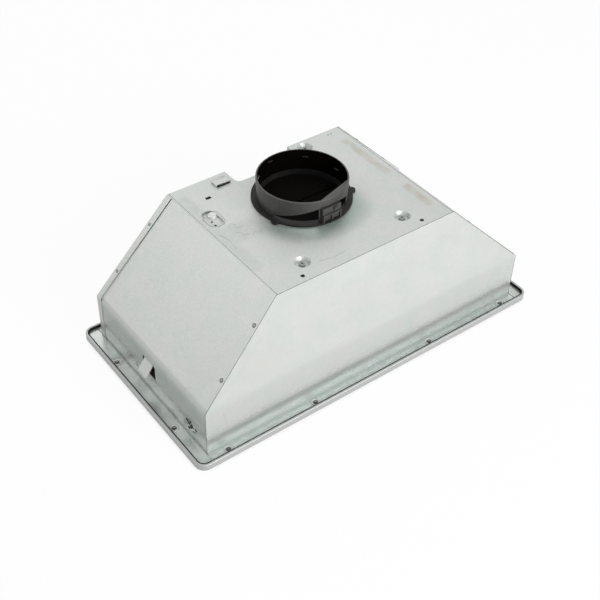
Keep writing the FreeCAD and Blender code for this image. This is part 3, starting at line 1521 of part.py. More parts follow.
NODES = (
    "fascia_panel",
    "front_panel",
    "back_panel",
    "left_end_panel",
    "right_end_panel",
    "top_plate",
    "rear_recess",
    "casing_rivets_left_front",
    "casing_rivets_left_back",
    "casing_rivets_right_front",
    "casing_rivets_right_back",
    "seat_screws",
    "side_spring_left",
    "side_spring_right",
    "collar_flange",
    "duct_collar",
    "damper_rod",
    "damper_flap_front",
    "damper_flap_rear",
    "volute_left",
    "volute_right",
    "fan_hub",
    "fan_blades",
    "motor_housing",
    "motor_shaft",
    "motor_bracket",
    "motor_bushes",
    "motor_screws",
    "hanger_left",
    "hanger_right",
    "hanger_screws",
    "capacitor",
    "capacitor_strap",
    "junction_box",
    "junction_cover",
    "terminal_block",
    "cable_gland",
    "gland_nut",
    "control_bezel",
    "switch_housing",
    "circuit_board",
    "tact_switches",
    *BUTTON_NAMES[:BUTTON_COUNT],
    "lamp_housing_left",
    "lamp_housing_right",
    "led_board_left",
    "led_board_right",
    "lamp_lens_left",
    "lamp_lens_right",
    "filter_frame_left",
    "filter_frame_right",
    "filter_mesh_left",
    "filter_mesh_right",
    "filter_latch_left",
    "filter_latch_right",
)

doc.recompute()
broken = [item.Label for item in doc.Objects if {"Invalid", "Error"} & set(item.State)]
if broken:
    raise RuntimeError(f"these objects failed: {broken}")

os.makedirs("parts", exist_ok=True)
for name in NODES:
    item = doc.getObject(name)
    shape = item.Shape
    if shape.isNull() or not shape.isValid() or not shape.Solids:
        raise RuntimeError(f"{name} has no valid solid")
    item.Label = name
    shape.exportStep(f"parts/{name}.step")
    box = shape.BoundBox
    print(f"{name:22s} solids {len(shape.Solids):2d}  volume {shape.Volume / 1000:9.2f} cm3",
          *(f" {axis} {low:7.1f} {high:7.1f}" for axis, low, high in
            (("x", box.XMin, box.XMax), ("y", box.YMin, box.YMax), ("z", box.ZMin, box.ZMax))))
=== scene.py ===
# %% [markdown]
# # A range hood insert, dressed for its photograph
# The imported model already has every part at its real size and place. This notebook adds what the
# solids leave out: pressed seats, rolled edges, seams and marks in the sheet, screw heads, the filters'
# expanded mesh, and a finish for each material. One Blender unit is one metre, +Z points up to the
# duct, and -Y is the side with the controls.

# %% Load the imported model
import json
import math

import bmesh
import bpy
from mathutils import Matrix, Vector


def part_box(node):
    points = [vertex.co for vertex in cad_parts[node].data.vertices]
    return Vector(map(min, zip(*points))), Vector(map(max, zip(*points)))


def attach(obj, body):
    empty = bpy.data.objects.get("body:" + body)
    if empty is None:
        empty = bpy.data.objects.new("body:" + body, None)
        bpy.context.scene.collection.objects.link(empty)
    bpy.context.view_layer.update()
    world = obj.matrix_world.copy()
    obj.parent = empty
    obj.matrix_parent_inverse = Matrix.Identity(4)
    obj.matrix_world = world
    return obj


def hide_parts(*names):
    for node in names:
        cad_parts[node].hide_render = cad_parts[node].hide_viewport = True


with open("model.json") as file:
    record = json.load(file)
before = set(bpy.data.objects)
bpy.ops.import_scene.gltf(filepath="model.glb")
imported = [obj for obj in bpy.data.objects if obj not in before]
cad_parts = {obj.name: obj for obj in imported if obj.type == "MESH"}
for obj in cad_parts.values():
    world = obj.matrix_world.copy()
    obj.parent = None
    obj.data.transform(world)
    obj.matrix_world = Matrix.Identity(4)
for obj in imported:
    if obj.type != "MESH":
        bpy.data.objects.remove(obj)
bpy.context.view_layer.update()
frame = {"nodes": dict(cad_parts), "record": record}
node_slot = {part["node"]: part["material_slot"] for part in frame["record"]["subparts"]}
bodies = frame["record"]["behaviour"]["bodies"]
node_body = {node: body for body, nodes in bodies.items() for node in nodes}
MM = 0.001

# %% [markdown]
# ## The camera
# The photograph's viewpoint was found from corners whose places are known: it looks down about 42
# degrees from the front left, turned by a degree and a half about its own axis. The camera's matrix is
# built from its three axes, because that states the turn exactly and leaves nothing to aim.

# %% Camera
PHOTO_WIDTH, FOCAL_PIXELS, SENSOR = 600, 1094, 36
CAMERA_PLACE = (-0.67993, -0.85692, 1.00598)
AZIMUTH, ELEVATION, ROLL = -37.65, 41.80, 1.55


def view_axes(azimuth, elevation, roll):
    """The camera's right, up and backward directions, from three angles in degrees."""
    a, e, r = (math.radians(angle) for angle in (azimuth, elevation, roll))
    back = Vector((math.sin(a) * math.cos(e), -math.cos(a) * math.cos(e), math.sin(e)))
    level = Vector((math.cos(a), math.sin(a), 0))
    right = level * math.cos(r) + back.cross(level) * math.sin(r)
    return right, back.cross(right), back


camera = bpy.data.objects.new("camera", bpy.data.cameras.new("camera"))
bpy.context.scene.collection.objects.link(camera)
bpy.context.scene.camera = camera
camera.data.sensor_width = SENSOR
camera.data.lens = SENSOR * FOCAL_PIXELS / PHOTO_WIDTH
camera.data.clip_start = 0.01
camera.matrix_world = (Matrix.Translation(CAMERA_PLACE)
                       @ Matrix(view_axes(AZIMUTH, ELEVATION, ROLL)).transposed().to_4x4())
print("camera", [round(x, 3) for x in camera.matrix_world.translation])

# %% [markdown]
# ## Writing a finish
# A finish is a node tree, and trees are easier to read as sums. `Value` wraps one output socket, so
# that `1 - mask` or `grain * 0.2 + 0.4` adds the Math nodes it needs. `Finish` holds a material and has
# one method, `node`, that adds any other node: its settings first, then the values or links of its
# sockets. Patterns read Object coordinates in metres, so their size on the object is known.

# %% Values and finishes
class Value:
    """One output socket, with the sums that the trees use."""

    def __init__(self, writer, socket):
        self.writer, self.socket = writer, socket

    def __add__(self, other):
        return self.writer.sum("ADD", self, other)

    def __sub__(self, other):
        return self.writer.sum("SUBTRACT", self, other)

    def __rsub__(self, other):
        return self.writer.sum("SUBTRACT", other, self)

    def __mul__(self, other):
        return self.writer.sum("MULTIPLY", self, other)

    __radd__ = __add__
    __rmul__ = __mul__


class Writer:
    """Adds nodes to a tree."""

    def __init__(self, tree):
        self.tree = tree

    def feed(self, socket, value):
        """Sets a socket, or links a Value to it."""
        if isinstance(value, Value):
            self.tree.links.new(value.socket, socket)
        elif socket.type == "RGBA":
            socket.default_value = (*value, 1)
        else:
            socket.default_value = value

    def node(self, kind, settings, sockets, output=0):
        """Adds a node: its settings, the stops of its ramp, then its sockets by name or number."""
        made = self.tree.nodes.new(kind)
        for name, value in settings.items():
            if name != "stops":
                setattr(made, name, value)
                continue
            ramp = made.color_ramp.elements
            ramp[0].position, ramp[1].position = value[0][0], value[-1][0]
            for position, _ in value[1:-1]:
                ramp.new(position)
            for stop, (_, level) in zip(ramp, value):
                stop.color = (level, level, level, 1)
        for name, value in sockets.items():
            self.feed(made.inputs[name], value)
        return Value(self, made.outputs[output])

    def sum(self, operation, *values):
        return self.node("ShaderNodeMath", {"operation": operation}, dict(enumerate(values)))

    def blend(self, factor, first, second, how="MIX"):
        """Mixes two colours by a factor."""
        return self.node("ShaderNodeMix", {"data_type": "RGBA", "blend_type": how},
                         {0: factor, 6: first, 7: second}, 2)


class Finish(Writer):
    """A material and its node tree. Constants go straight onto the shader's sockets."""

    def __init__(self, name, constants):
        self.material = bpy.data.materials.new(name)
        self.material.use_nodes = True
        super().__init__(self.material.node_tree)
        self.shader = self.tree.nodes["Principled BSDF"]
        for socket, value in constants.items():
            self.feed(self.shader.inputs[socket], value)

    def place(self, stretch=(1, 1, 1), turn=(0, 0, 0), shift=(0, 0, 0)):
        """Object coordinates, stretched and turned."""
        where = self.node("ShaderNodeTexCoord", {}, {}, "Object")
        return self.node("ShaderNodeMapping", {}, {"Vector": where, "Scale": stretch, "Rotation": turn,
                                                   "Location": shift})

    def noise(self, scale, detail=2.0, rough=0.5, **place):
        return self.node("ShaderNodeTexNoise", {}, {"Vector": self.place(**place), "Scale": scale,
                                                    "Detail": detail, "Roughness": rough}, "Fac")

    def levels(self, value, *stops):
        """Remaps a value through a ramp of (position, level) stops."""
        return self.node("ShaderNodeValToRGB", {"stops": stops}, {"Fac": value})

    def grey(self, value):
        """A grey of the given level."""
        return self.node("ShaderNodeCombineColor", {}, {0: value, 1: value, 2: value})

    def along(self, axis):
        """One Object coordinate, in millimetres."""
        where = self.node("ShaderNodeTexCoord", {}, {}, "Object")
        return self.node("ShaderNodeSeparateXYZ", {}, {"Vector": where}, axis) * (1 / MM)

    def band(self, axis, low, high, soft):
        """1 between two places along an axis, in millimetres, and 0 outside them."""
        def side(sign, limit):
            return self.node("ShaderNodeMath", {"operation": "MULTIPLY_ADD", "use_clamp": True},
                             {0: self.along(axis), 1: sign / soft, 2: 0.5 - sign * limit / soft})
        return side(1, low) * side(-1, high)

    def square_from(self, middle):
        """The square of the distance from an upright axis, in square millimetres."""
        away = [self.along(axis) - place for axis, place in zip("XY", middle)]
        return away[0] * away[0] + away[1] * away[1]

    def shelter(self, distance):
        """How open a place is to the room: 0 in a deep corner, 1 on a bare face."""
        return self.node("ShaderNodeAmbientOcclusion", {"samples": 6},
                         {"Distance": distance * MM}, "AO")

    def bump(self, height, distance):
        """A bump of the given depth in metres, on the shader's normal."""
        normal = self.node("ShaderNodeBump", {}, {"Height": height, "Distance": distance})
        self.feed(self.shader.inputs["Normal"], normal)

    def surface(self, shader):
        """Puts another shader, or a mix of two, on the material's output."""
        self.feed(self.tree.nodes["Material Output"].inputs["Surface"], shader)

    def set(self, **sockets):
        """Links or sets the shader's sockets, named with underscores for spaces."""
        for name, value in sockets.items():
            self.feed(self.shader.inputs[name.replace("_", " ")], value)
        return self.material


finishes = {}
print("finish writer ready")

# %% [markdown]
# ## Galvanised sheet
# Hot-dip zinc is a pale, slightly green grey. It is half mirror and half chalk: small crystals, the
# spangle, each turned a little differently, under a thin dull skin. A Voronoi texture gives each
# crystal its own lightness, slow noise gives the faint warm and green clouds, and fine noise gives the
# specks. Corners that no light reaches are painted darker, as the Ambient Occlusion node measures
# them. A panel may add patches: a colour, its strength, the box on the panel, in millimetres, where it
# lies, and how soft its edge is. The beige strips and the dark smudges are marks in the sheet; the
# other patches are painted light, painted reflection and painted shade, which make parts of a wall
# lighter, greener or darker. Two things are drawn because they show so clearly: the collar's shadow,
# painted as a dusky ring on the plate in front of it, and the gloss at the foot of the walls, which
# mirrors the flange and the dark line inside the rim.

# %% Galvanised sheet
EVERYWHERE = (-300, 300)
COLLAR_MIDDLE = (0.0, 26.5)
GREENISH, WARM = (0.535, 0.562, 0.540), (0.560, 0.564, 0.545)
# Colours for painted light, painted reflection and painted shade on the end walls.
PAINTED_LIGHT, PAINTED_REFLECTION, WALL_SHADE = (0.70, 0.745, 0.725), (0.490, 0.545, 0.530), (0.430, 0.495, 0.460)
# A colour for painted shade, then the colours of the real beige strips and dark smudges.
PAINTED_SHADE, BEIGE, SOOT = (0.300, 0.365, 0.335), (0.430, 0.405, 0.345), (0.115, 0.125, 0.120)


def galvanised(name, tone=0.90, mottle=1.0, patches=(), collar_shadow=0.0, foot_gloss=0.0):
    """Galvanised sheet of a lightness, with its mottle, patches, painted collar shadow and gloss as
    strengths.
    """
    f = Finish(name, {"Metallic": 0.42})
    crystal = f.node("ShaderNodeTexVoronoi", {"feature": "F1"},
                     {"Vector": f.place(), "Scale": 330.0, "Randomness": 1.0}, "Color")
    spangle = f.node("ShaderNodeSeparateColor", {}, {"Color": crystal})
    cloud = f.noise(24.0, 4.0, 0.62)
    warmth = f.noise(34.0, 2.0, 0.5, shift=(3, 1, 2))
    speck = f.levels(f.noise(560.0, 3.0, 0.7), (0.34, 0.0), (0.60, 1.0))
    pit = f.levels(f.noise(300.0, 2.0, 0.6, shift=(7, 2, 5)), (0.30, 0.0), (0.38, 1.0))
    scratch = f.levels(f.noise(60.0, 1.0, 0.4, stretch=(0.35, 16.0, 6.0), turn=(0, 0, 0.5)),
                       (0.70, 0.0), (0.735, 1.0))
    scratch = scratch * f.levels(f.noise(14.0, 1.0, 0.5, shift=(5, 5, 5)), (0.5, 0.0), (0.62, 1.0))
    shade = f.blend(f.levels(warmth, (0.40, 0.0), (0.62, 1.0)), GREENISH, WARM)
    # Each patch is either a real mark or painted light, reflection or shade.
    for colour, strength, xs, ys, zs, soft in patches:
        mask = f.levels(f.noise(70.0, 4.0, 0.65, shift=(xs[0] % 7, ys[0] % 5, 1)),
                        (0.36, 0.35 if soft < 12 else 0.80), (0.62, 1.0)) * strength
        for axis, (low, high) in zip("XYZ", (xs, ys, zs)):
            if (low, high) != EVERYWHERE:
                mask = mask * f.band(axis, low, high, soft)
        shade = f.blend(mask, shade, colour)
    # The collar's shadow on the plate in front of it is painted, as a dusky ring.
    if collar_shadow:
        near = f.levels(f.square_from(COLLAR_MIDDLE) * 0.0001,
                        (0.50, collar_shadow), (0.78, collar_shadow * 0.45), (0.94, 0.0))
        shade = f.blend(near * f.band("Y", -110, 4, 30) * f.band("X", -80, 62, 30), shade, PAINTED_SHADE)
    grain = (spangle * 0.8 + speck * 1.3 + pit) * (0.060 * mottle)
    light = tone + cloud * (0.12 * mottle) + grain + scratch * 0.05
    # Painted shade: darker in corners that the Ambient Occlusion node finds shut in.
    light = light * f.levels(f.shelter(8), (0.04, 0.45), (0.36, 1.0))
    shade = f.blend(1.0, shade, f.grey(light), "MULTIPLY")
    f.bump(spangle * 0.4 + speck * 0.5 + cloud * 7.0 + scratch * 0.5, 0.00006)
    rough = 0.34 + spangle * 0.06 + cloud * 0.12 - scratch * 0.1
    if foot_gloss:
        rough = rough * (1 - f.band("Z", -12, 34, 16) * foot_gloss)
    return f.set(Base_Color=shade, Roughness=rough)


finishes["galvanised"] = galvanised("galvanised")
seat_finish = galvanised("galvanised_seat", 1.12, 0.4)
# Beige strips and smudges are marks; the other patches and the collar's shadow are painted light and
# shade.
panel_finish = {
    "top_plate": galvanised("galvanised_plate", 0.86, 1.0, (
        (BEIGE, 0.80, (117, 128), (3, 96), EVERYWHERE, 5),
        (BEIGE, 0.80, (117, 128), (-81, -29), EVERYWHERE, 5),
        (SOOT, 0.16, (-118, -78), (-6, 28), EVERYWHERE, 10),
        (SOOT, 0.14, (-135, -118), (-60, 110), EVERYWHERE, 6)), collar_shadow=0.85),
    "end_panel": galvanised("galvanised_end", 0.90, 1.15, (
        # End wall: painted shade over the wall, a painted dark band below the fold, painted light low
        # down, then smudges.
        (WALL_SHADE, 0.30, EVERYWHERE, EVERYWHERE, (3, 68), 8),
        (PAINTED_SHADE, 0.55, EVERYWHERE, EVERYWHERE, (44, 66), 14),
        (PAINTED_LIGHT, 0.40, EVERYWHERE, EVERYWHERE, (5, 24), 12),
        (SOOT, 0.22, EVERYWHERE, (-112, -72), (8, 36), 10),
        (SOOT, 0.30, EVERYWHERE, (62, 82), (0, 14), 7),
        (SOOT, 0.30, EVERYWHERE, (2, 26), (0, 7), 7),
        (SOOT, 0.34, EVERYWHERE, (-62, -38), (0, 12), 8),
        (SOOT, 0.30, EVERYWHERE, (-104, -90), (0, 7), 6)), foot_gloss=0.5),
    "front_panel": galvanised("galvanised_front", 0.95, 0.55, (
        # Front: a painted dark reflection band, a painted teal reflection at the foot, painted light on
        # the flange.
        (PAINTED_SHADE, 0.18, EVERYWHERE, EVERYWHERE, (19, 28), 9),
        (PAINTED_REFLECTION, 0.85, EVERYWHERE, EVERYWHERE, (-9, 17), 8),
        (PAINTED_LIGHT, 0.90, EVERYWHERE, (-142, -131), (-3, 7), 3)), foot_gloss=0.66),
}
print("galvanised sheet,", len(panel_finish), "panels with patches")

# %% [markdown]
# ## Stainless steel, spring steel and zinc-plated fasteners
# The fascia is brushed along its length, so its noise is stretched along X until it turns into lines.
# Springs, screws and rivets are small: a little uneven roughness is all that shows on them.

# %% Steels
def brushed(name, colour, rough, along, metallic):
    """Steel or aluminium whose grain runs where the stretch is small."""
    f = Finish(name, {"Metallic": metallic})
    line = f.noise(900.0, 3.0, 0.6, stretch=along)
    smear = f.noise(18.0, 2.0, 0.5)
    dark = tuple(c * 0.86 for c in colour)
    f.bump(line, 0.00002)
    return f.set(Base_Color=f.blend(line * 0.6 + smear * 0.4, dark, colour),
                 Roughness=rough - 0.06 + line * 0.08 + smear * 0.08)


finishes["stainless"] = brushed("stainless", (0.50, 0.51, 0.505), 0.42, (0.02, 1.0, 1.0), 0.5)
finishes["spring_steel"] = brushed("spring_steel", (0.80, 0.82, 0.79), 0.45, (1.0, 0.2, 1.0), 0.3)
finishes["zinc_hardware"] = brushed("zinc_hardware", (0.40, 0.42, 0.40), 0.60, (1.0, 1.0, 1.0), 0.2)
finishes["shaft_steel"] = brushed("shaft_steel", (0.64, 0.64, 0.64), 0.22, (1.0, 12.0, 12.0), 1.0)
finishes["motor_steel"] = brushed("motor_steel", (0.42, 0.43, 0.44), 0.42, (0.3, 1.0, 1.0), 0.6)
finishes["filter_aluminium"] = brushed("filter_aluminium", (0.74, 0.75, 0.76), 0.34,
                                       (0.05, 1.0, 1.0), 0.9)
finishes["mesh_aluminium"] = brushed("mesh_aluminium", (0.68, 0.69, 0.70), 0.40,
                                     (1.0, 1.0, 1.0), 0.9)
print("steels and aluminium")

# %% [markdown]
# ## Plastics and rubber
# Moulded plastic is never one flat colour: it carries dust, a fine eroded grain from its mould, and
# places where handling has polished it. All three come from noise at different sizes. What separates
# the plastics is their colour, their gloss and how coarse the grain is. Hardly any light reaches the
# inside of the collar, so its faces there, except those that face up, are painted a plain unlit black,
# and the damper flaps in it a painted near black. The dark fillings of seams, the painted shade in
# creases and gaps, and the grey of tool marks are made the same way, nearly without gloss.

# %% Plastics
def plastic(name, colour, rough, grain=0.00002, dust=0.02, scale=2600.0, gloss=0.5):
    """Writes a moulded plastic: grain is its depth in metres, scale its fineness."""
    f = Finish(name, {"Metallic": 0.0, "Specular IOR Level": gloss})
    skin = f.noise(scale, 2.0, 0.6)
    worn = f.noise(45.0, 3.0, 0.6)
    pale = tuple(c + dust for c in colour)
    f.bump(skin, grain)
    f.set(Base_Color=f.blend(f.levels(worn, (0.42, 0.0), (0.70, 1.0)), colour, pale),
          Roughness=rough - 0.05 + worn * 0.12 + skin * 0.05)
    return f


def moulded(*look, **more):
    return plastic(*look, **more).material


finishes["collar_plastic"] = moulded("collar_plastic", (0.029, 0.028, 0.028), 0.36, 0.00003, 0.012)
# Painted shade: the damper flaps deep in the collar are nearly black.
shaded_plastic = moulded("shaded_plastic", (0.0035, 0.0028, 0.0025), 0.85, 0.00003, 0.001, gloss=0.06)
# A grey for painted shade in creases and round the pocket, and for the real tool marks.
crease_shadow = moulded("crease_shadow", (0.16, 0.18, 0.165), 0.7, 0.00001, 0.08, 900.0, 0.2)
SPIGOT_BORE, SPIGOT_TOP, LEVEL = 57.3, 216.6, 0.25


def shaded_inside(name, colour, rough, middle):
    """A plastic tube round a middle in millimetres, glossy outside and unlit inside."""
    f = plastic(name, colour, rough, 0.00003, 0.012)
    inside = f.sum("LESS_THAN", f.square_from(middle), SPIGOT_BORE ** 2)
    inside = inside * f.sum("LESS_THAN", f.along("Z"), SPIGOT_TOP)
    normal = f.node("ShaderNodeNewGeometry", {}, {}, "Normal")
    upward = f.node("ShaderNodeSeparateXYZ", {}, {"Vector": normal}, "Z")
    inside = inside * f.sum("LESS_THAN", upward, LEVEL)
    unlit = f.node("ShaderNodeBsdfDiffuse", {}, {"Color": (0.0035, 0.0026, 0.0022)})
    f.surface(f.node("ShaderNodeMixShader", {}, {
        0: inside, 1: Value(f, f.shader.outputs[0]), 2: unlit}))
    return f.material


collar_finish = shaded_inside("collar_shaded", (0.043, 0.041, 0.039), 0.34, COLLAR_MIDDLE)
ring_plastic = moulded("ring_plastic", (0.009, 0.008, 0.008), 0.55, 0.00003, 0.006, gloss=0.25)
joint_shadow = moulded("joint_shadow", (0.030, 0.032, 0.030), 0.9, 0.00001, 0.02, 900.0, 0.1)
finishes["blower_plastic"] = moulded("blower_plastic", (0.085, 0.086, 0.090), 0.48)
finishes["fan_plastic"] = moulded("fan_plastic", (0.52, 0.53, 0.53), 0.46)
finishes["bush_rubber"] = moulded("bush_rubber", (0.022, 0.022, 0.022), 0.75, 0.00005, 0.015, 1500.0)
finishes["capacitor_shell"] = moulded("capacitor_shell", (0.78, 0.78, 0.75), 0.30)
finishes["electrics_plastic"] = moulded("electrics_plastic", (0.58, 0.58, 0.56), 0.50)
finishes["terminal_plastic"] = moulded("terminal_plastic", (0.76, 0.75, 0.70), 0.42)
finishes["gland_plastic"] = moulded("gland_plastic", (0.025, 0.025, 0.026), 0.42)
finishes["button_plastic"] = moulded("button_plastic", (0.035, 0.035, 0.038), 0.24, 0.00001, 0.006)
finishes["latch_plastic"] = moulded("latch_plastic", (0.10, 0.10, 0.102), 0.45)
finishes["board"] = moulded("board", (0.04, 0.17, 0.075), 0.38)
finishes["led_board"] = moulded("led_board", (0.82, 0.82, 0.79), 0.45)
diode_resin = moulded("diode_resin", (0.80, 0.66, 0.22), 0.35, 0.00001, 0.05)
legend_ink = moulded("legend_ink", (0.62, 0.63, 0.64), 0.5, 0.00001, 0.05)
print("plastics")

# %% [markdown]
# ## The frosted lenses
# The lamp lenses are clear plastic with a blasted inner face, so light and the board behind come
# through blurred. Rough transmission does that without any model of the frosting.

# %% Lens
def frosted():
    f = Finish("lens", {"Base Color": (0.92, 0.93, 0.92), "Transmission Weight": 0.75, "IOR": 1.49})
    frost = f.noise(1800.0, 2.0, 0.6)
    f.bump(frost, 0.00002)
    return f.set(Roughness=0.38 + frost * 0.12)


finishes["lens"] = frosted()
print("lens")

# %% [markdown]
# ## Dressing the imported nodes
# The record says which finish each node takes. A node that keeps its shape only gets its material. The
# casing's panels get their own version of the galvanised finish, and what sits in the collar's deep
# shade gets the unlit one.

# %% Assign the finishes
panels = {"top_plate": "top_plate", "left_end_panel": "end_panel", "right_end_panel": "end_panel",
          "front_panel": "front_panel"}
for name, node in frame["nodes"].items():
    finish = finishes[node_slot[name]]
    if name in panels:
        finish = panel_finish[panels[name]]
    elif name.startswith("damper"):
        finish = shaded_plastic
    elif name == "duct_collar":
        finish = collar_finish
    elif name == "collar_flange":
        finish = ring_plastic
    node.data.materials.clear()
    node.data.materials.append(finish)
    node.data.shade_flat()
    node.data.set_sharp_from_angle(angle=math.radians(32))
print("finishes on", len(frame["nodes"]), "nodes")

# %% [markdown]
# ## Pieces
# A new piece is a mesh whose place is in its vertices. It rides on the body that carries it, and may
# hide the node that it stands for.

# %% Helpers for pieces
def piece(name, mesh, finish, body, stands_for=()):
    """Links a mesh as a finished piece on a body."""
    made = bpy.data.objects.new(name, mesh)
    bpy.context.scene.collection.objects.link(made)
    mesh.materials.clear()
    mesh.materials.append(finish)
    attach(made, body)
    if stands_for:
        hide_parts(*stands_for)
    return made


def merged(node):
    """A node's solid as a bmesh with joined corners and whole flat faces."""
    bm = bmesh.new()
    bm.from_mesh(frame["nodes"][node].data)
    bmesh.ops.remove_doubles(bm, verts=bm.verts, dist=0.001 * MM)
    bmesh.ops.dissolve_limit(bm, angle_limit=math.radians(0.5), verts=bm.verts, edges=bm.edges)
    for face in bm.faces:
        face.smooth = False
    return bm


def islands(node):
    """The box of each separate solid of a node, in millimetres, as (low, high) corners."""
    bm = bmesh.new()
    bm.from_mesh(frame["nodes"][node].data)
    bmesh.ops.remove_doubles(bm, verts=bm.verts, dist=0.001 * MM)
    left, boxes = set(bm.verts), []
    while left:
        front = [left.pop()]
        group = list(front)
        while front:
            near = {edge.other_vert(vert) for vert in front for edge in vert.link_edges} & left
            left -= near
            front = list(near)
            group += front
        places = [vert.co / MM for vert in group]
        boxes.append([Vector([pick(p[i] for p in places) for i in range(3)]) for pick in (min, max)])
    bm.free()
    return sorted(boxes, key=lambda box: tuple(box[0]))


def mark(box):
    """The corners of a box in whole tenths, to print."""
    return [[round(c, 1) for c in corner] for corner in box]


print("seat screws at", [mark(box) for box in islands("seat_screws")])

# %% [markdown]
# ## Folds
# A press brake can't fold steel to a sharp corner: the slope meets the end wall in a soft bend of
# about 4 mm, which catches a broad band of light, while the top crease and the flange bend are
# tighter. The front panel's bend is so slight that it only shows as a change of tone, and its foot
# stays sharp, because no line of light shows there. Each panel is copied, its chosen folds are
# bevelled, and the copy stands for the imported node. The fascia's rolled rim gets the same treatment
# along its upper and lower edges.

# %% Softened panels
SHORTEST_FOLD = 0.4
BEND_Z, PLATE_Z, FLANGE_Z = 73.0, 185.0, 5.0
WALL_X, WALL_Y, CREASE_X = 248.7, 126.5, 136.0
RIM_X, RIM_Y, RIM_TOP, RIM_CORNER = 269.0, 144.5, 9.0, 13.0
BRIDGE_DROP = 0.42


def softened(node, finish, folds):
    """Stands a copy with bevelled folds in a node's place. A fold is its radius, its segments and a
    test of a point, all in millimetres."""
    bm = merged(node)
    rounded = 0
    for radius, segments, inside in folds:
        edges = [edge for edge in bm.edges if len(edge.link_faces) == 2
                 and edge.calc_length() > SHORTEST_FOLD * MM
                 and edge.calc_face_angle() > math.radians(5)
                 and all(inside(*(abs(c) / MM for c in vert.co)) for vert in edge.verts)]
        rounded += len(edges)
        bevel = bmesh.ops.bevel(bm, geom=edges, offset=radius * MM, offset_type="OFFSET",
                                segments=segments, profile=0.5, affect="EDGES", clamp_overlap=False)
        for face in bevel["faces"]:
            shortest = min(edge.calc_length() for edge in face.edges)
            face.smooth = len(face.verts) == 4 and shortest < radius * MM
    for edge in bm.edges:
        edge.smooth = len(edge.link_faces) == 2 and edge.calc_face_angle() < math.radians(30)
    mesh = bpy.data.meshes.new(node)
    bm.to_mesh(mesh)
    bm.free()
    print(node, rounded, "edges rounded")
    return piece("soft_" + node, mesh, finish, node_body[node], [node])


for side in ("left", "right"):
    softened(side + "_end_panel", panel_finish["end_panel"], (
        (4.5, 6, lambda x, y, z: abs(z - BEND_Z) < 0.1),
        (1.4, 3, lambda x, y, z: abs(z - PLATE_Z) < 0.1 and CREASE_X - 1.5 < x < CREASE_X + 0.2),
        (1.2, 3, lambda x, y, z: z < FLANGE_Z + 0.1 and WALL_X - 1 < x < WALL_X + 0.1)))
softened("front_panel", panel_finish["front_panel"], (
    (5.0, 4, lambda x, y, z: abs(z - BEND_Z) < 0.1),))
plate = softened("top_plate", panel_finish["top_plate"], (
    (1.3, 4, lambda x, y, z: z > PLATE_Z + 1 and 50 < x < 90 and 90 < y < 125),))
for vert in plate.data.vertices:
    lift = vert.co.z - (PLATE_Z + 0.05) * MM
    if lift > 0:
        vert.co.z -= lift * BRIDGE_DROP


def on_rim(x, y, z):
    """True for points of the rim's upper edges and of its outer lower edge."""
    past_x, past_y = x - RIM_X + RIM_CORNER, y - RIM_Y + RIM_CORNER
    on_corner = past_x > -0.1 and past_y > -0.1 and math.hypot(past_x, past_y) > RIM_CORNER - 0.1
    outer = x > RIM_X - 0.1 or y > RIM_Y - 0.1 or on_corner
    return abs(z - RIM_TOP) < 0.05 or (z < 0.05 and outer)


softened("fascia_panel", finishes["stainless"], ((0.9, 3, on_rim),))
print("folds and rim softened, and the cable bridge lowered")

# %% [markdown]
# ## Writing a pattern
# What repeats is made with Geometry Nodes. A `Pattern` is a tree with a named input for each size. It
# starts from a bare mesh of points or lines, ends in Realize Instances and Set Material, and is kept
# as a plain mesh, because the export drops live instances.

# %% Patterns
class Pattern(Writer):
    """A Geometry Nodes tree with named inputs."""

    def __init__(self, name, **sizes):
        super().__init__(bpy.data.node_groups.new(name, "GeometryNodeTree"))
        sockets = {"Geometry": "NodeSocketGeometry", "finish": "NodeSocketMaterial"}
        sockets.update({size: "NodeSocketInt" if isinstance(value, int) else "NodeSocketFloat"
                        for size, value in sizes.items()})
        self.tree.interface.new_socket("Geometry", in_out="OUTPUT", socket_type="NodeSocketGeometry")
        for socket, kind in sockets.items():
            self.tree.interface.new_socket(socket, in_out="INPUT", socket_type=kind)
        self.start = self.tree.nodes.new("NodeGroupInput")
        self.sizes = sizes

    def given(self, name):
        return Value(self, self.start.outputs[name])

    def vector(self, x, y, z):
        return self.node("ShaderNodeCombineXYZ", {}, {0: x, 1: y, 2: z})

    def facing(self):
        """The turn that brings +Z to each point's 'facing' direction."""
        way = self.node("GeometryNodeInputNamedAttribute", {"data_type": "FLOAT_VECTOR"},
                        {"Name": "facing"})
        return self.node("FunctionNodeAlignRotationToVector", {"axis": "Z"}, {"Vector": way})

    def close(self, geometry):
        """Ends the tree."""
        real = self.node("GeometryNodeRealizeInstances", {}, {"Geometry": geometry})
        done = self.node("GeometryNodeSetMaterial", {}, {"Geometry": real,
                                                         "Material": self.given("finish")})
        self.feed(self.tree.nodes.new("NodeGroupOutput").inputs[0], done)

    def make(self, name, start, finish, body="casing", slot="galvanised", stands_for=(), **sizes):
        """Runs the tree on a bare mesh and keeps the result as a piece."""
        holder = bpy.data.objects.new(name + "_start", start)
        bpy.context.scene.collection.objects.link(holder)
        modifier = holder.modifiers.new(name, "NODES")
        modifier.node_group = self.tree
        values = {**self.sizes, **sizes, "finish": finish}
        for socket in self.tree.interface.items_tree:
            if socket.in_out == "INPUT" and socket.name in values:
                modifier[socket.identifier] = values[socket.name]
        ready = holder.evaluated_get(bpy.context.evaluated_depsgraph_get())
        mesh = bpy.data.meshes.new_from_object(ready)
        mesh.name = name
        bpy.data.objects.remove(holder)
        piece(name, mesh, finish, body, stands_for)
        print(name, len(mesh.polygons), "faces")


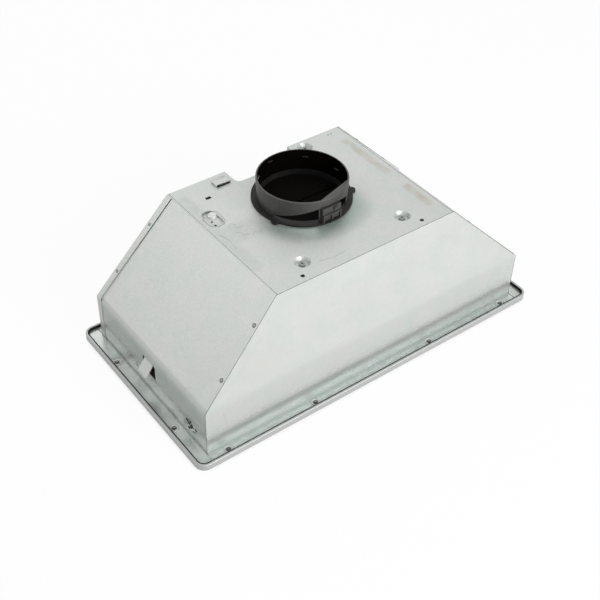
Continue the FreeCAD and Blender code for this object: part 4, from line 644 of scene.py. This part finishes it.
def points(places, facing=(0, 0, 1), edges=()):
    """A bare mesh of places in millimetres. Facing is one direction, or one for each place."""
    mesh = bpy.data.meshes.new("points")
    mesh.from_pydata([Vector(place) * MM for place in places], edges, [])
    ways = [facing] * len(places) if isinstance(facing[0], (int, float)) else facing
    layer = mesh.attributes.new("facing", "FLOAT_VECTOR", "POINT")
    layer.data.foreach_set("vector", [c for way in ways for c in way])
    return mesh


def lines(*runs):
    """A bare mesh of open lines through places in millimetres."""
    places, edges = [], []
    for run in runs:
        edges += [(len(places) + i, len(places) + i + 1) for i in range(len(run) - 1)]
        places += run
    return points(places, edges=edges)


def mirrored(places):
    """The places and their mirror images across X."""
    return [(sign * x, y, z) for sign in (-1, 1) for x, y, z in places]


def box_of(node):
    """The lowest and highest corners of a node, in millimetres."""
    return [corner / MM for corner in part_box(node)]


def middle_at(low, high, z):
    """The middle of a box's width and depth, at a height."""
    return (low.x + high.x) / 2, (low.y + high.y) / 2, z


print("pattern writer ready")

# %% [markdown]
# ## Seams
# Where two sheets meet, their cut edges leave a hairline joint that no light gets into. A tube of
# half a millimetre along each joint, sunk a little into the sheet, shows as that dark hairline from
# every side. One pattern turns any set of lines into such strands. The same strands, in a paler grey,
# are painted shade along the inside of a crease and round the outline of the pressed pocket.

# %% Panel seams
strand = Pattern("strand", radius=0.0003, sides=6)
path = strand.node("GeometryNodeMeshToCurve", {}, {"Mesh": strand.given("Geometry")})
ring = strand.node("GeometryNodeCurvePrimitiveCircle", {}, {"Resolution": strand.given("sides"),
                                                            "Radius": strand.given("radius")})
strand.close(strand.node("GeometryNodeCurveToMesh", {}, {"Curve": path, "Profile Curve": ring,
                                                         "Fill Caps": True}))

FRONT_TOP_Y, BACK_TOP_Y, FLANGE_Y, SUNK = -108.0, 125.7, 140.0, 0.08
STRIP_Y, STRIP_FOOT_X, STRIP_TOP_X = 116.3, 249.0, 137.0
CREASE_BEND, FLANGE_BEND = 1.4, 0.9
seams = []
for side in (-1, 1):
    foot, crease = side * (WALL_X - SUNK), side * (CREASE_X - SUNK)
    seams += [
        [(foot, -WALL_Y, FLANGE_Z), (foot, -WALL_Y, BEND_Z), (crease, FRONT_TOP_Y, PLATE_Z - SUNK)],
        [(foot, WALL_Y, FLANGE_Z), (foot, WALL_Y, BEND_Z)],
        [(side * STRIP_FOOT_X, STRIP_Y, BEND_Z + 2), (side * STRIP_TOP_X, STRIP_Y, PLATE_Z - 0.6)],
        [(foot, -WALL_Y, FLANGE_Z), (foot, -FLANGE_Y, FLANGE_Z)],
        [(foot, WALL_Y, FLANGE_Z), (foot, FLANGE_Y, FLANGE_Z)],
    ]
seams += [[(-CREASE_X, FRONT_TOP_Y, PLATE_Z - SUNK), (CREASE_X, FRONT_TOP_Y, PLATE_Z - SUNK)]]
strand.make("panel_seams", lines(*seams), joint_shadow, radius=0.00022)
creases = [[(side * (CREASE_X - CREASE_BEND), y, PLATE_Z - SUNK) for y in (FRONT_TOP_Y, BACK_TOP_Y)]
           for side in (-1, 1)]
creases += [[(side * (WALL_X + FLANGE_BEND), y, FLANGE_Z + 0.1) for y in (-WALL_Y, WALL_Y)]
            for side in (-1, 1)]
# Painted shade along the inside of each crease and flange bend.
strand.make("crease_lines", lines(*creases), crease_shadow)

pocket = [(-121.5, 64.5), (-110.5, 65.5), (-105.5, 59.5), (-106.0, 41.5), (-111.5, 35.0),
          (-121.0, 34.5), (-128.0, 41.0), (-128.5, 56.5)]
outline = [(x, y, PLATE_Z - SUNK) for x, y in pocket + pocket[:1]]
# Painted shade round the edge of the pressed pocket.
strand.make("pocket_outline", lines(outline), crease_shadow)

# %% [markdown]
# ## The joint inside the rim
# Between the casing's flange and the rolled rim a gap of about a millimetre runs all the way round,
# and shows as a thin black line, because no light gets into it. Four dark strands, one above the
# other, that follow a rounded rectangle fill it with painted shade.

# %% Painted shade in the rim joint
def rounded_rectangle(half_x, half_y, radius, z, steps=10):
    """A closed line round a rectangle with rounded corners."""
    line = []
    for quarter, (sx, sy) in enumerate(((1, 1), (-1, 1), (-1, -1), (1, -1))):
        for step in range(steps + 1):
            angle = math.radians(90 * (quarter + step / steps))
            line.append((sx * (half_x - radius) + radius * math.cos(angle),
                         sy * (half_y - radius) + radius * math.sin(angle), z))
    return line + line[:1]


GAP_X, GAP_Y, GAP_CORNER, GAP_HEIGHTS = 265.2, 140.7, 9.2, (5.2, 6.3, 7.4, 8.4)
joint = [rounded_rectangle(GAP_X, GAP_Y, GAP_CORNER, z) for z in GAP_HEIGHTS]
# Painted shade: dark strands that fill the gap inside the rim.
strand.make("rim_joint", lines(*joint), joint_shadow, slot="stainless", radius=0.00058, sides=8)

# %% [markdown]
# ## Pressed rings round the fixing holes and the rivets
# Each fixing hole sits in a small pressed seat: the sheet rises to a low ridge and dips again to the
# hole, so that a screw head lies snug. A closed ring with a triangular section, swept round a circle
# and set on every hole, makes all twelve. The same tree, smaller and dark, paints the shade at the
# edge of each hole and in the gap round a rivet's head; there each ring faces the way its own slope
# faces.

# %% Pressed rings
crater = Pattern("pressed_ring", inner=0.0023, ridge=0.0056, outer=0.0062, height=0.0006)
circle = crater.node("GeometryNodeCurvePrimitiveCircle", {}, {"Resolution": 36,
                                                              "Radius": crater.given("inner")})
upright = crater.node("GeometryNodeSetCurveNormal", {"mode": "Z_UP"}, {"Curve": circle})
width = crater.given("outer") - crater.given("inner")
crest = crater.given("ridge") - crater.given("inner")
section = crater.node("GeometryNodeCurvePrimitiveQuadrilateral", {"mode": "POINTS"}, {
    "Point 1": crater.vector(0.0, crater.given("height") * -0.12, 0.0),
    "Point 2": crater.vector(crest, crater.given("height") * -1.0, 0.0),
    "Point 3": crater.vector(width, 0.0, 0.0),
    "Point 4": crater.vector(width * 0.5, crater.given("height") * 0.2, 0.0)})
swept = crater.node("GeometryNodeCurveToMesh", {}, {"Curve": upright, "Profile Curve": section})
crater.close(crater.node("GeometryNodeInstanceOnPoints", {}, {
    "Points": crater.given("Geometry"), "Instance": swept, "Rotation": crater.facing()}))

HOLES = ((224.3, 134.6), (94.0, 134.6), (259.1, 69.0))
holes = mirrored([(x, way * y, FLANGE_Z) for x, y in HOLES for way in (1, -1)])
crater.make("fixing_seats", points(holes), seat_finish)
# Painted shade: a dark ring at the edge of each fixing hole.
crater.make("fixing_rims", points(holes), joint_shadow,
            inner=0.0019, ridge=0.0023, outer=0.0028, height=0.0003)

SLOPE = Vector((PLATE_Z - BEND_Z, 0, WALL_X - CREASE_X)).normalized()
heads, ways = [], []
for name in ("left_front", "left_back", "right_front", "right_back"):
    for low, high in islands("casing_rivets_" + name):
        side = math.copysign(1, low.x)
        out = Vector((side * SLOPE.x, 0, SLOPE.z))
        middle = (low + high) / 2
        height = (Vector((side * WALL_X, 0, BEND_Z)) - middle).dot(out)
        heads.append(middle + out * (height + 0.05))
        ways.append(out)
# Painted shade: a dark ring in the gap round each rivet's head.
crater.make("rivet_rings", points(heads, ways), joint_shadow,
            inner=0.0019, ridge=0.0022, outer=0.0027, height=0.00035)

# %% [markdown]
# ## Dots
# Small round things share one pattern: a flattened ball on each point, with its size varied a little
# by a fixed seed. It makes dark dots of painted shade for the ragged cluster of holes in the end wall
# and for the floor of the plate's two locating holes, and it makes the specks round them, the bump in
# the pressed pocket, the LEDs on the lamp boards and the legends on the buttons.

# %% Dots
dots = Pattern("dots", radius=0.001, flatness=0.3, vary=0.0, seed=3)
ball = dots.node("GeometryNodeMeshUVSphere", {}, {"Segments": 16, "Rings": 8,
                                                  "Radius": dots.given("radius")})
flat = dots.node("GeometryNodeTransform", {}, {"Geometry": ball,
                                               "Scale": dots.vector(1.0, 1.0, dots.given("flatness"))})
size = dots.node("FunctionNodeRandomValue", {"data_type": "FLOAT"},
                 {2: 1.0 - dots.given("vary"), 3: 1.0 + dots.given("vary"),
                  "Seed": dots.given("seed")}, 1)
dots.close(dots.node("GeometryNodeInstanceOnPoints", {}, {
    "Points": dots.given("Geometry"), "Instance": flat, "Rotation": dots.facing(),
    "Scale": dots.vector(size, size, 1.0)}))

DOWN = (0, 0, -1)
cluster = [(-83.5, 27), (-88, 24), (-91, 29), (-92, 21), (-96, 24),
           (-97, 17), (-101, 19), (-88, 17), (-103, 25), (-94, 26)]
# Painted shade: dark dots where the holes of the end wall's cluster are.
dots.make("wall_holes", points([(-WALL_X, y, z) for y, z in cluster], (-1, 0, 0)), joint_shadow,
          radius=0.0018, flatness=0.12, vary=0.45)
locating = mirrored([(91.5, -98, PLATE_Z - 0.9)])
dots.make("locating_shadows", points(locating), joint_shadow, radius=0.0026, flatness=0.1)
specks = [(x, y, PLATE_Z) for x, y in ((112, 117.4), (116.9, 117), (-53, 45.5), (-53.4, 36))]
dots.make("plate_specks", points(specks), joint_shadow, radius=0.0009, flatness=0.15)
POCKET_Z = PLATE_Z - 2.5
dots.make("pocket_bump", points([(-112.8, 60.0, POCKET_Z)]), seat_finish, radius=0.0070, flatness=0.50)

LED_RING = 11
low, high = box_of("led_board_left")
turns = [k * math.pi / 4 for k in range(8)]
ring = [(0, 0)] + [(LED_RING * math.cos(turn), LED_RING * math.sin(turn)) for turn in turns]
centre = middle_at(low, high, low.z)
diodes = mirrored([(centre[0] + x, centre[1] + y, centre[2]) for x, y in ring])
dots.make("led_diodes", points(diodes, DOWN), diode_resin, slot="led_board", radius=0.0016, flatness=0.6)
for name in ("lamp", "off", "low_speed", "medium_speed", "high_speed"):
    button = name + "_button"
    low, high = box_of(button)
    dots.make(name + "_legend", points([middle_at(low, high, low.z)], DOWN), legend_ink,
              node_body[button], "button_plastic", radius=0.0011, flatness=0.12)

# %% [markdown]
# ## Handling marks in the sheet
# The casing is a hidden part, so its maker leaves what the tools leave: a row of short ticks low on
# the front wall and a few curled scratches near the pocket. They are strands again, so thin that they
# only read as lines.

# %% Marks
TICK_STEP = 4.2
ticks = [[(-223.8 + k, -WALL_Y, 58 - TICK_STEP * k), (-223.2 + k, -WALL_Y, 56.6 - TICK_STEP * k)]
         for k in range(5)]
curls = [[(-110, 27), (-105, 31), (-101, 26), (-104, 20), (-99, 17), (-95, 20)],
         [(-109, 13), (-103, 9), (-104, 4), (-98, 1), (-94, 4)],
         [(-96, -3), (-90, 1), (-84, -3), (-80, 0)],
         [(-128, 20), (-124, 5), (-126, -14)], [(-60, -88), (-40, -92), (-22, -90)]]
scratches = [[(x, y, PLATE_Z) for x, y in curl] for curl in curls]
strand.make("front_marks", lines(*ticks), crease_shadow, radius=0.00028)
strand.make("plate_scratches", lines(*scratches), crease_shadow, radius=0.00013)

# %% [markdown]
# ## Screw heads
# A cross recess is two crossed bars, dark because no light gets into it. One small pattern sets it on
# the head of each screw in the plate's round seats.

# %% Cross recesses
cross = Pattern("cross_recess", length=0.0032, width=0.0007, depth=0.0003)
joined = cross.tree.nodes.new("GeometryNodeJoinGeometry")
for sizes in (("length", "width", "depth"), ("width", "length", "depth")):
    sides = cross.vector(*[cross.given(size) for size in sizes])
    bar = cross.node("GeometryNodeMeshCube", {}, {"Size": sides})
    cross.tree.links.new(bar.socket, joined.inputs[0])
cross.close(cross.node("GeometryNodeInstanceOnPoints", {}, {
    "Points": cross.given("Geometry"), "Instance": Value(cross, joined.outputs[0]),
    "Rotation": cross.facing()}))
tops = [middle_at(low, high, high.z) for low, high in islands("seat_screws")]
cross.make("seat_screw_recesses", points(tops), joint_shadow, slot="zinc_hardware")

# %% [markdown]
# ## The filters' expanded mesh
# A grease filter holds sheets of expanded aluminium: slit and pulled, so that the strands zigzag and
# meet in diamonds. A straight line is resampled, every other point is pushed aside, and the zigzag is
# given a thickness. Rows of it are set side by side, every other one shifted by half a diamond, and
# the whole net is set twice, one layer above the other, in each filter frame. The four rows beside
# the latch stop short of it, so that the latch can slide.

# %% Expanded mesh
ROWS, LATCH_ROWS, PITCH = 42, 4, 4.1
EDGE_MIDDLE = 67.5
net = Pattern("expanded_sheet", width=0.207, steps=46, rows=ROWS - LATCH_ROWS, pitch=PITCH * MM,
              shift=0.0045, strand=0.00055)


def every_other(f):
    """0 and 1 in turn along a line's points."""
    return f.node("ShaderNodeMath", {"operation": "MODULO"},
                  {0: f.node("GeometryNodeInputIndex", {}, {}), 1: 2.0})


straight = net.node("GeometryNodeCurvePrimitiveLine", {}, {
    "Start": net.vector(net.given("width") * -0.5, 0.0, 0.0),
    "End": net.vector(net.given("width") * 0.5, 0.0, 0.0)})
stops = net.node("GeometryNodeResampleCurve", {}, {"Curve": straight, "Count": net.given("steps") + 1})
zigzag = net.node("GeometryNodeSetPosition", {}, {
    "Geometry": stops, "Offset": net.vector(0.0, (every_other(net) - 0.5) * net.given("pitch"), 0.0)})
section = net.node("GeometryNodeCurvePrimitiveCircle", {}, {"Resolution": 4,
                                                            "Radius": net.given("strand")})
row = net.node("GeometryNodeCurveToMesh", {}, {"Curve": zigzag, "Profile Curve": section,
                                               "Fill Caps": True})
rows = net.node("GeometryNodeMeshLine", {}, {"Count": net.given("rows"),
                                             "Offset": net.vector(0.0, net.given("pitch"), 0.0)})
centred = net.node("GeometryNodeSetPosition", {}, {"Geometry": rows, "Offset": net.vector(
    every_other(net) * net.given("shift"),
    net.given("pitch") * (net.given("rows") - 1) * -0.5, 0.0)})
layer = net.node("GeometryNodeInstanceOnPoints", {}, {"Points": centred, "Instance": row})
net.close(net.node("GeometryNodeInstanceOnPoints", {}, {"Points": net.given("Geometry"),
                                                        "Instance": layer}))
for side in ("left", "right"):
    node = "filter_mesh_" + side
    low, high = box_of(node)
    middle = (low + high) / 2
    layers = [(middle.x - 2.2, low.z + 1.0), (middle.x - 1.0, high.z - 0.8)]
    main_y = middle.y + LATCH_ROWS / 2 * PITCH
    edge_y = middle.y - (ROWS - LATCH_ROWS) / 2 * PITCH
    edges = [(x + way * EDGE_MIDDLE, edge_y, z) for x, z in layers for way in (-1, 1)]
    look = finishes["mesh_aluminium"], node_body[node], node_slot[node]
    net.make("expanded_mesh_" + side, points([(x, main_y, z) for x, z in layers]), *look, [node])
    net.make("expanded_edge_" + side, points(edges), *look, width=0.072, steps=16, rows=LATCH_ROWS)

# %% [markdown]
# ## The stage and the light
# The photograph's ground is pure white with almost no shadow. The floor looks white to the camera and
# in reflections, but it throws back only a little light, so the end walls keep their darker tone. Its
# glow fades where the object covers it, so that holes look dark. It is clear from below, and where it
# is covered it lets short rays through, so that the filters and the controls can be looked at. A large
# soft lamp from the back right gives the top its sheen, another from the front lights the front wall,
# and a weaker one stands where the left slope mirrors it.

# %% Floor, world and lamps
FLOOR_HALF, SHORT_RAY, GLOW, GLOW_SHARE = 8, 0.035, 1.1, 0.86


def ray(f, name):
    """What kind of ray asks, as 0 or 1, or how long or deep it is."""
    return f.node("ShaderNodeLightPath", {}, {}, name)


def seen(f):
    """1 for what is seen directly, mirrored or through glass, 0 for the rays that carry light."""
    total = ray(f, "Is Camera Ray") + ray(f, "Is Glossy Ray") + ray(f, "Is Transmission Ray")
    return f.sum("MINIMUM", total, 1.0) * f.sum("LESS_THAN", ray(f, "Diffuse Depth"), 0.5)


floor_mesh = bpy.data.meshes.new("floor")
corners = [(x * FLOOR_HALF, y * FLOOR_HALF, 0) for x, y in ((-1, -1), (1, -1), (1, 1), (-1, 1))]
floor_mesh.from_pydata(corners, [], [(0, 1, 2, 3)])
floor = bpy.data.objects.new("floor", floor_mesh)
bpy.context.scene.collection.objects.link(floor)
f = Finish("floor", {"Base Color": (0.42, 0.42, 0.42), "Roughness": 1.0, "Specular IOR Level": 0.0})
uncovered = f.levels(f.shelter(30), (0.26, 0.0), (0.48, 1.0))
glow = f.node("ShaderNodeEmission", {}, {"Color": (1, 1, 1), "Strength": GLOW})
lit = f.node("ShaderNodeMixShader", {}, {
    0: seen(f) * uncovered * GLOW_SHARE, 1: Value(f, f.shader.outputs[0]), 2: glow})
below = f.node("ShaderNodeNewGeometry", {}, {}, "Backfacing")
near = f.sum("LESS_THAN", ray(f, "Ray Length"), SHORT_RAY)
through = f.sum("MAXIMUM", below, (1 - uncovered) * (1 - ray(f, "Is Camera Ray")) * near)
clear = f.node("ShaderNodeBsdfTransparent", {}, {})
f.surface(f.node("ShaderNodeMixShader", {}, {0: through, 1: lit, 2: clear}))
floor_mesh.materials.append(f.material)

world = bpy.data.worlds.new("studio")
bpy.context.scene.world = world
world.use_nodes = True
f = Writer(world.node_tree)
f.feed(f.tree.nodes["Background"].inputs["Color"],
       f.blend(seen(f), (0.26, 0.27, 0.27), (1.0, 1.0, 1.0)))


OBJECT_MIDDLE = Vector((0, 0, 0.1))


def lamp(name, direction, distance, size, watts):
    """A square area lamp that shines at the object's middle from a direction."""
    light = bpy.data.lights.new(name, "AREA")
    light.size, light.energy = size, watts
    made = bpy.data.objects.new(name, light)
    bpy.context.scene.collection.objects.link(made)
    way = Vector(direction).normalized()
    made.location = OBJECT_MIDDLE + way * distance
    made.rotation_euler = way.to_track_quat("Z", "Y").to_euler()


lamp("key_lamp", (0.30, 0.75, 0.80), 1.9, 1.7, 6)
lamp("front_lamp", (0.12, -1.0, 0.30), 2.2, 2.4, 68)
lamp("slope_lamp", (-0.66, 0.59, 0.62), 2.0, 1.0, 5)
bpy.context.scene.view_settings.view_transform = "Standard"
print("stage, world and 3 lamps")

bpy.context.view_layer.update()
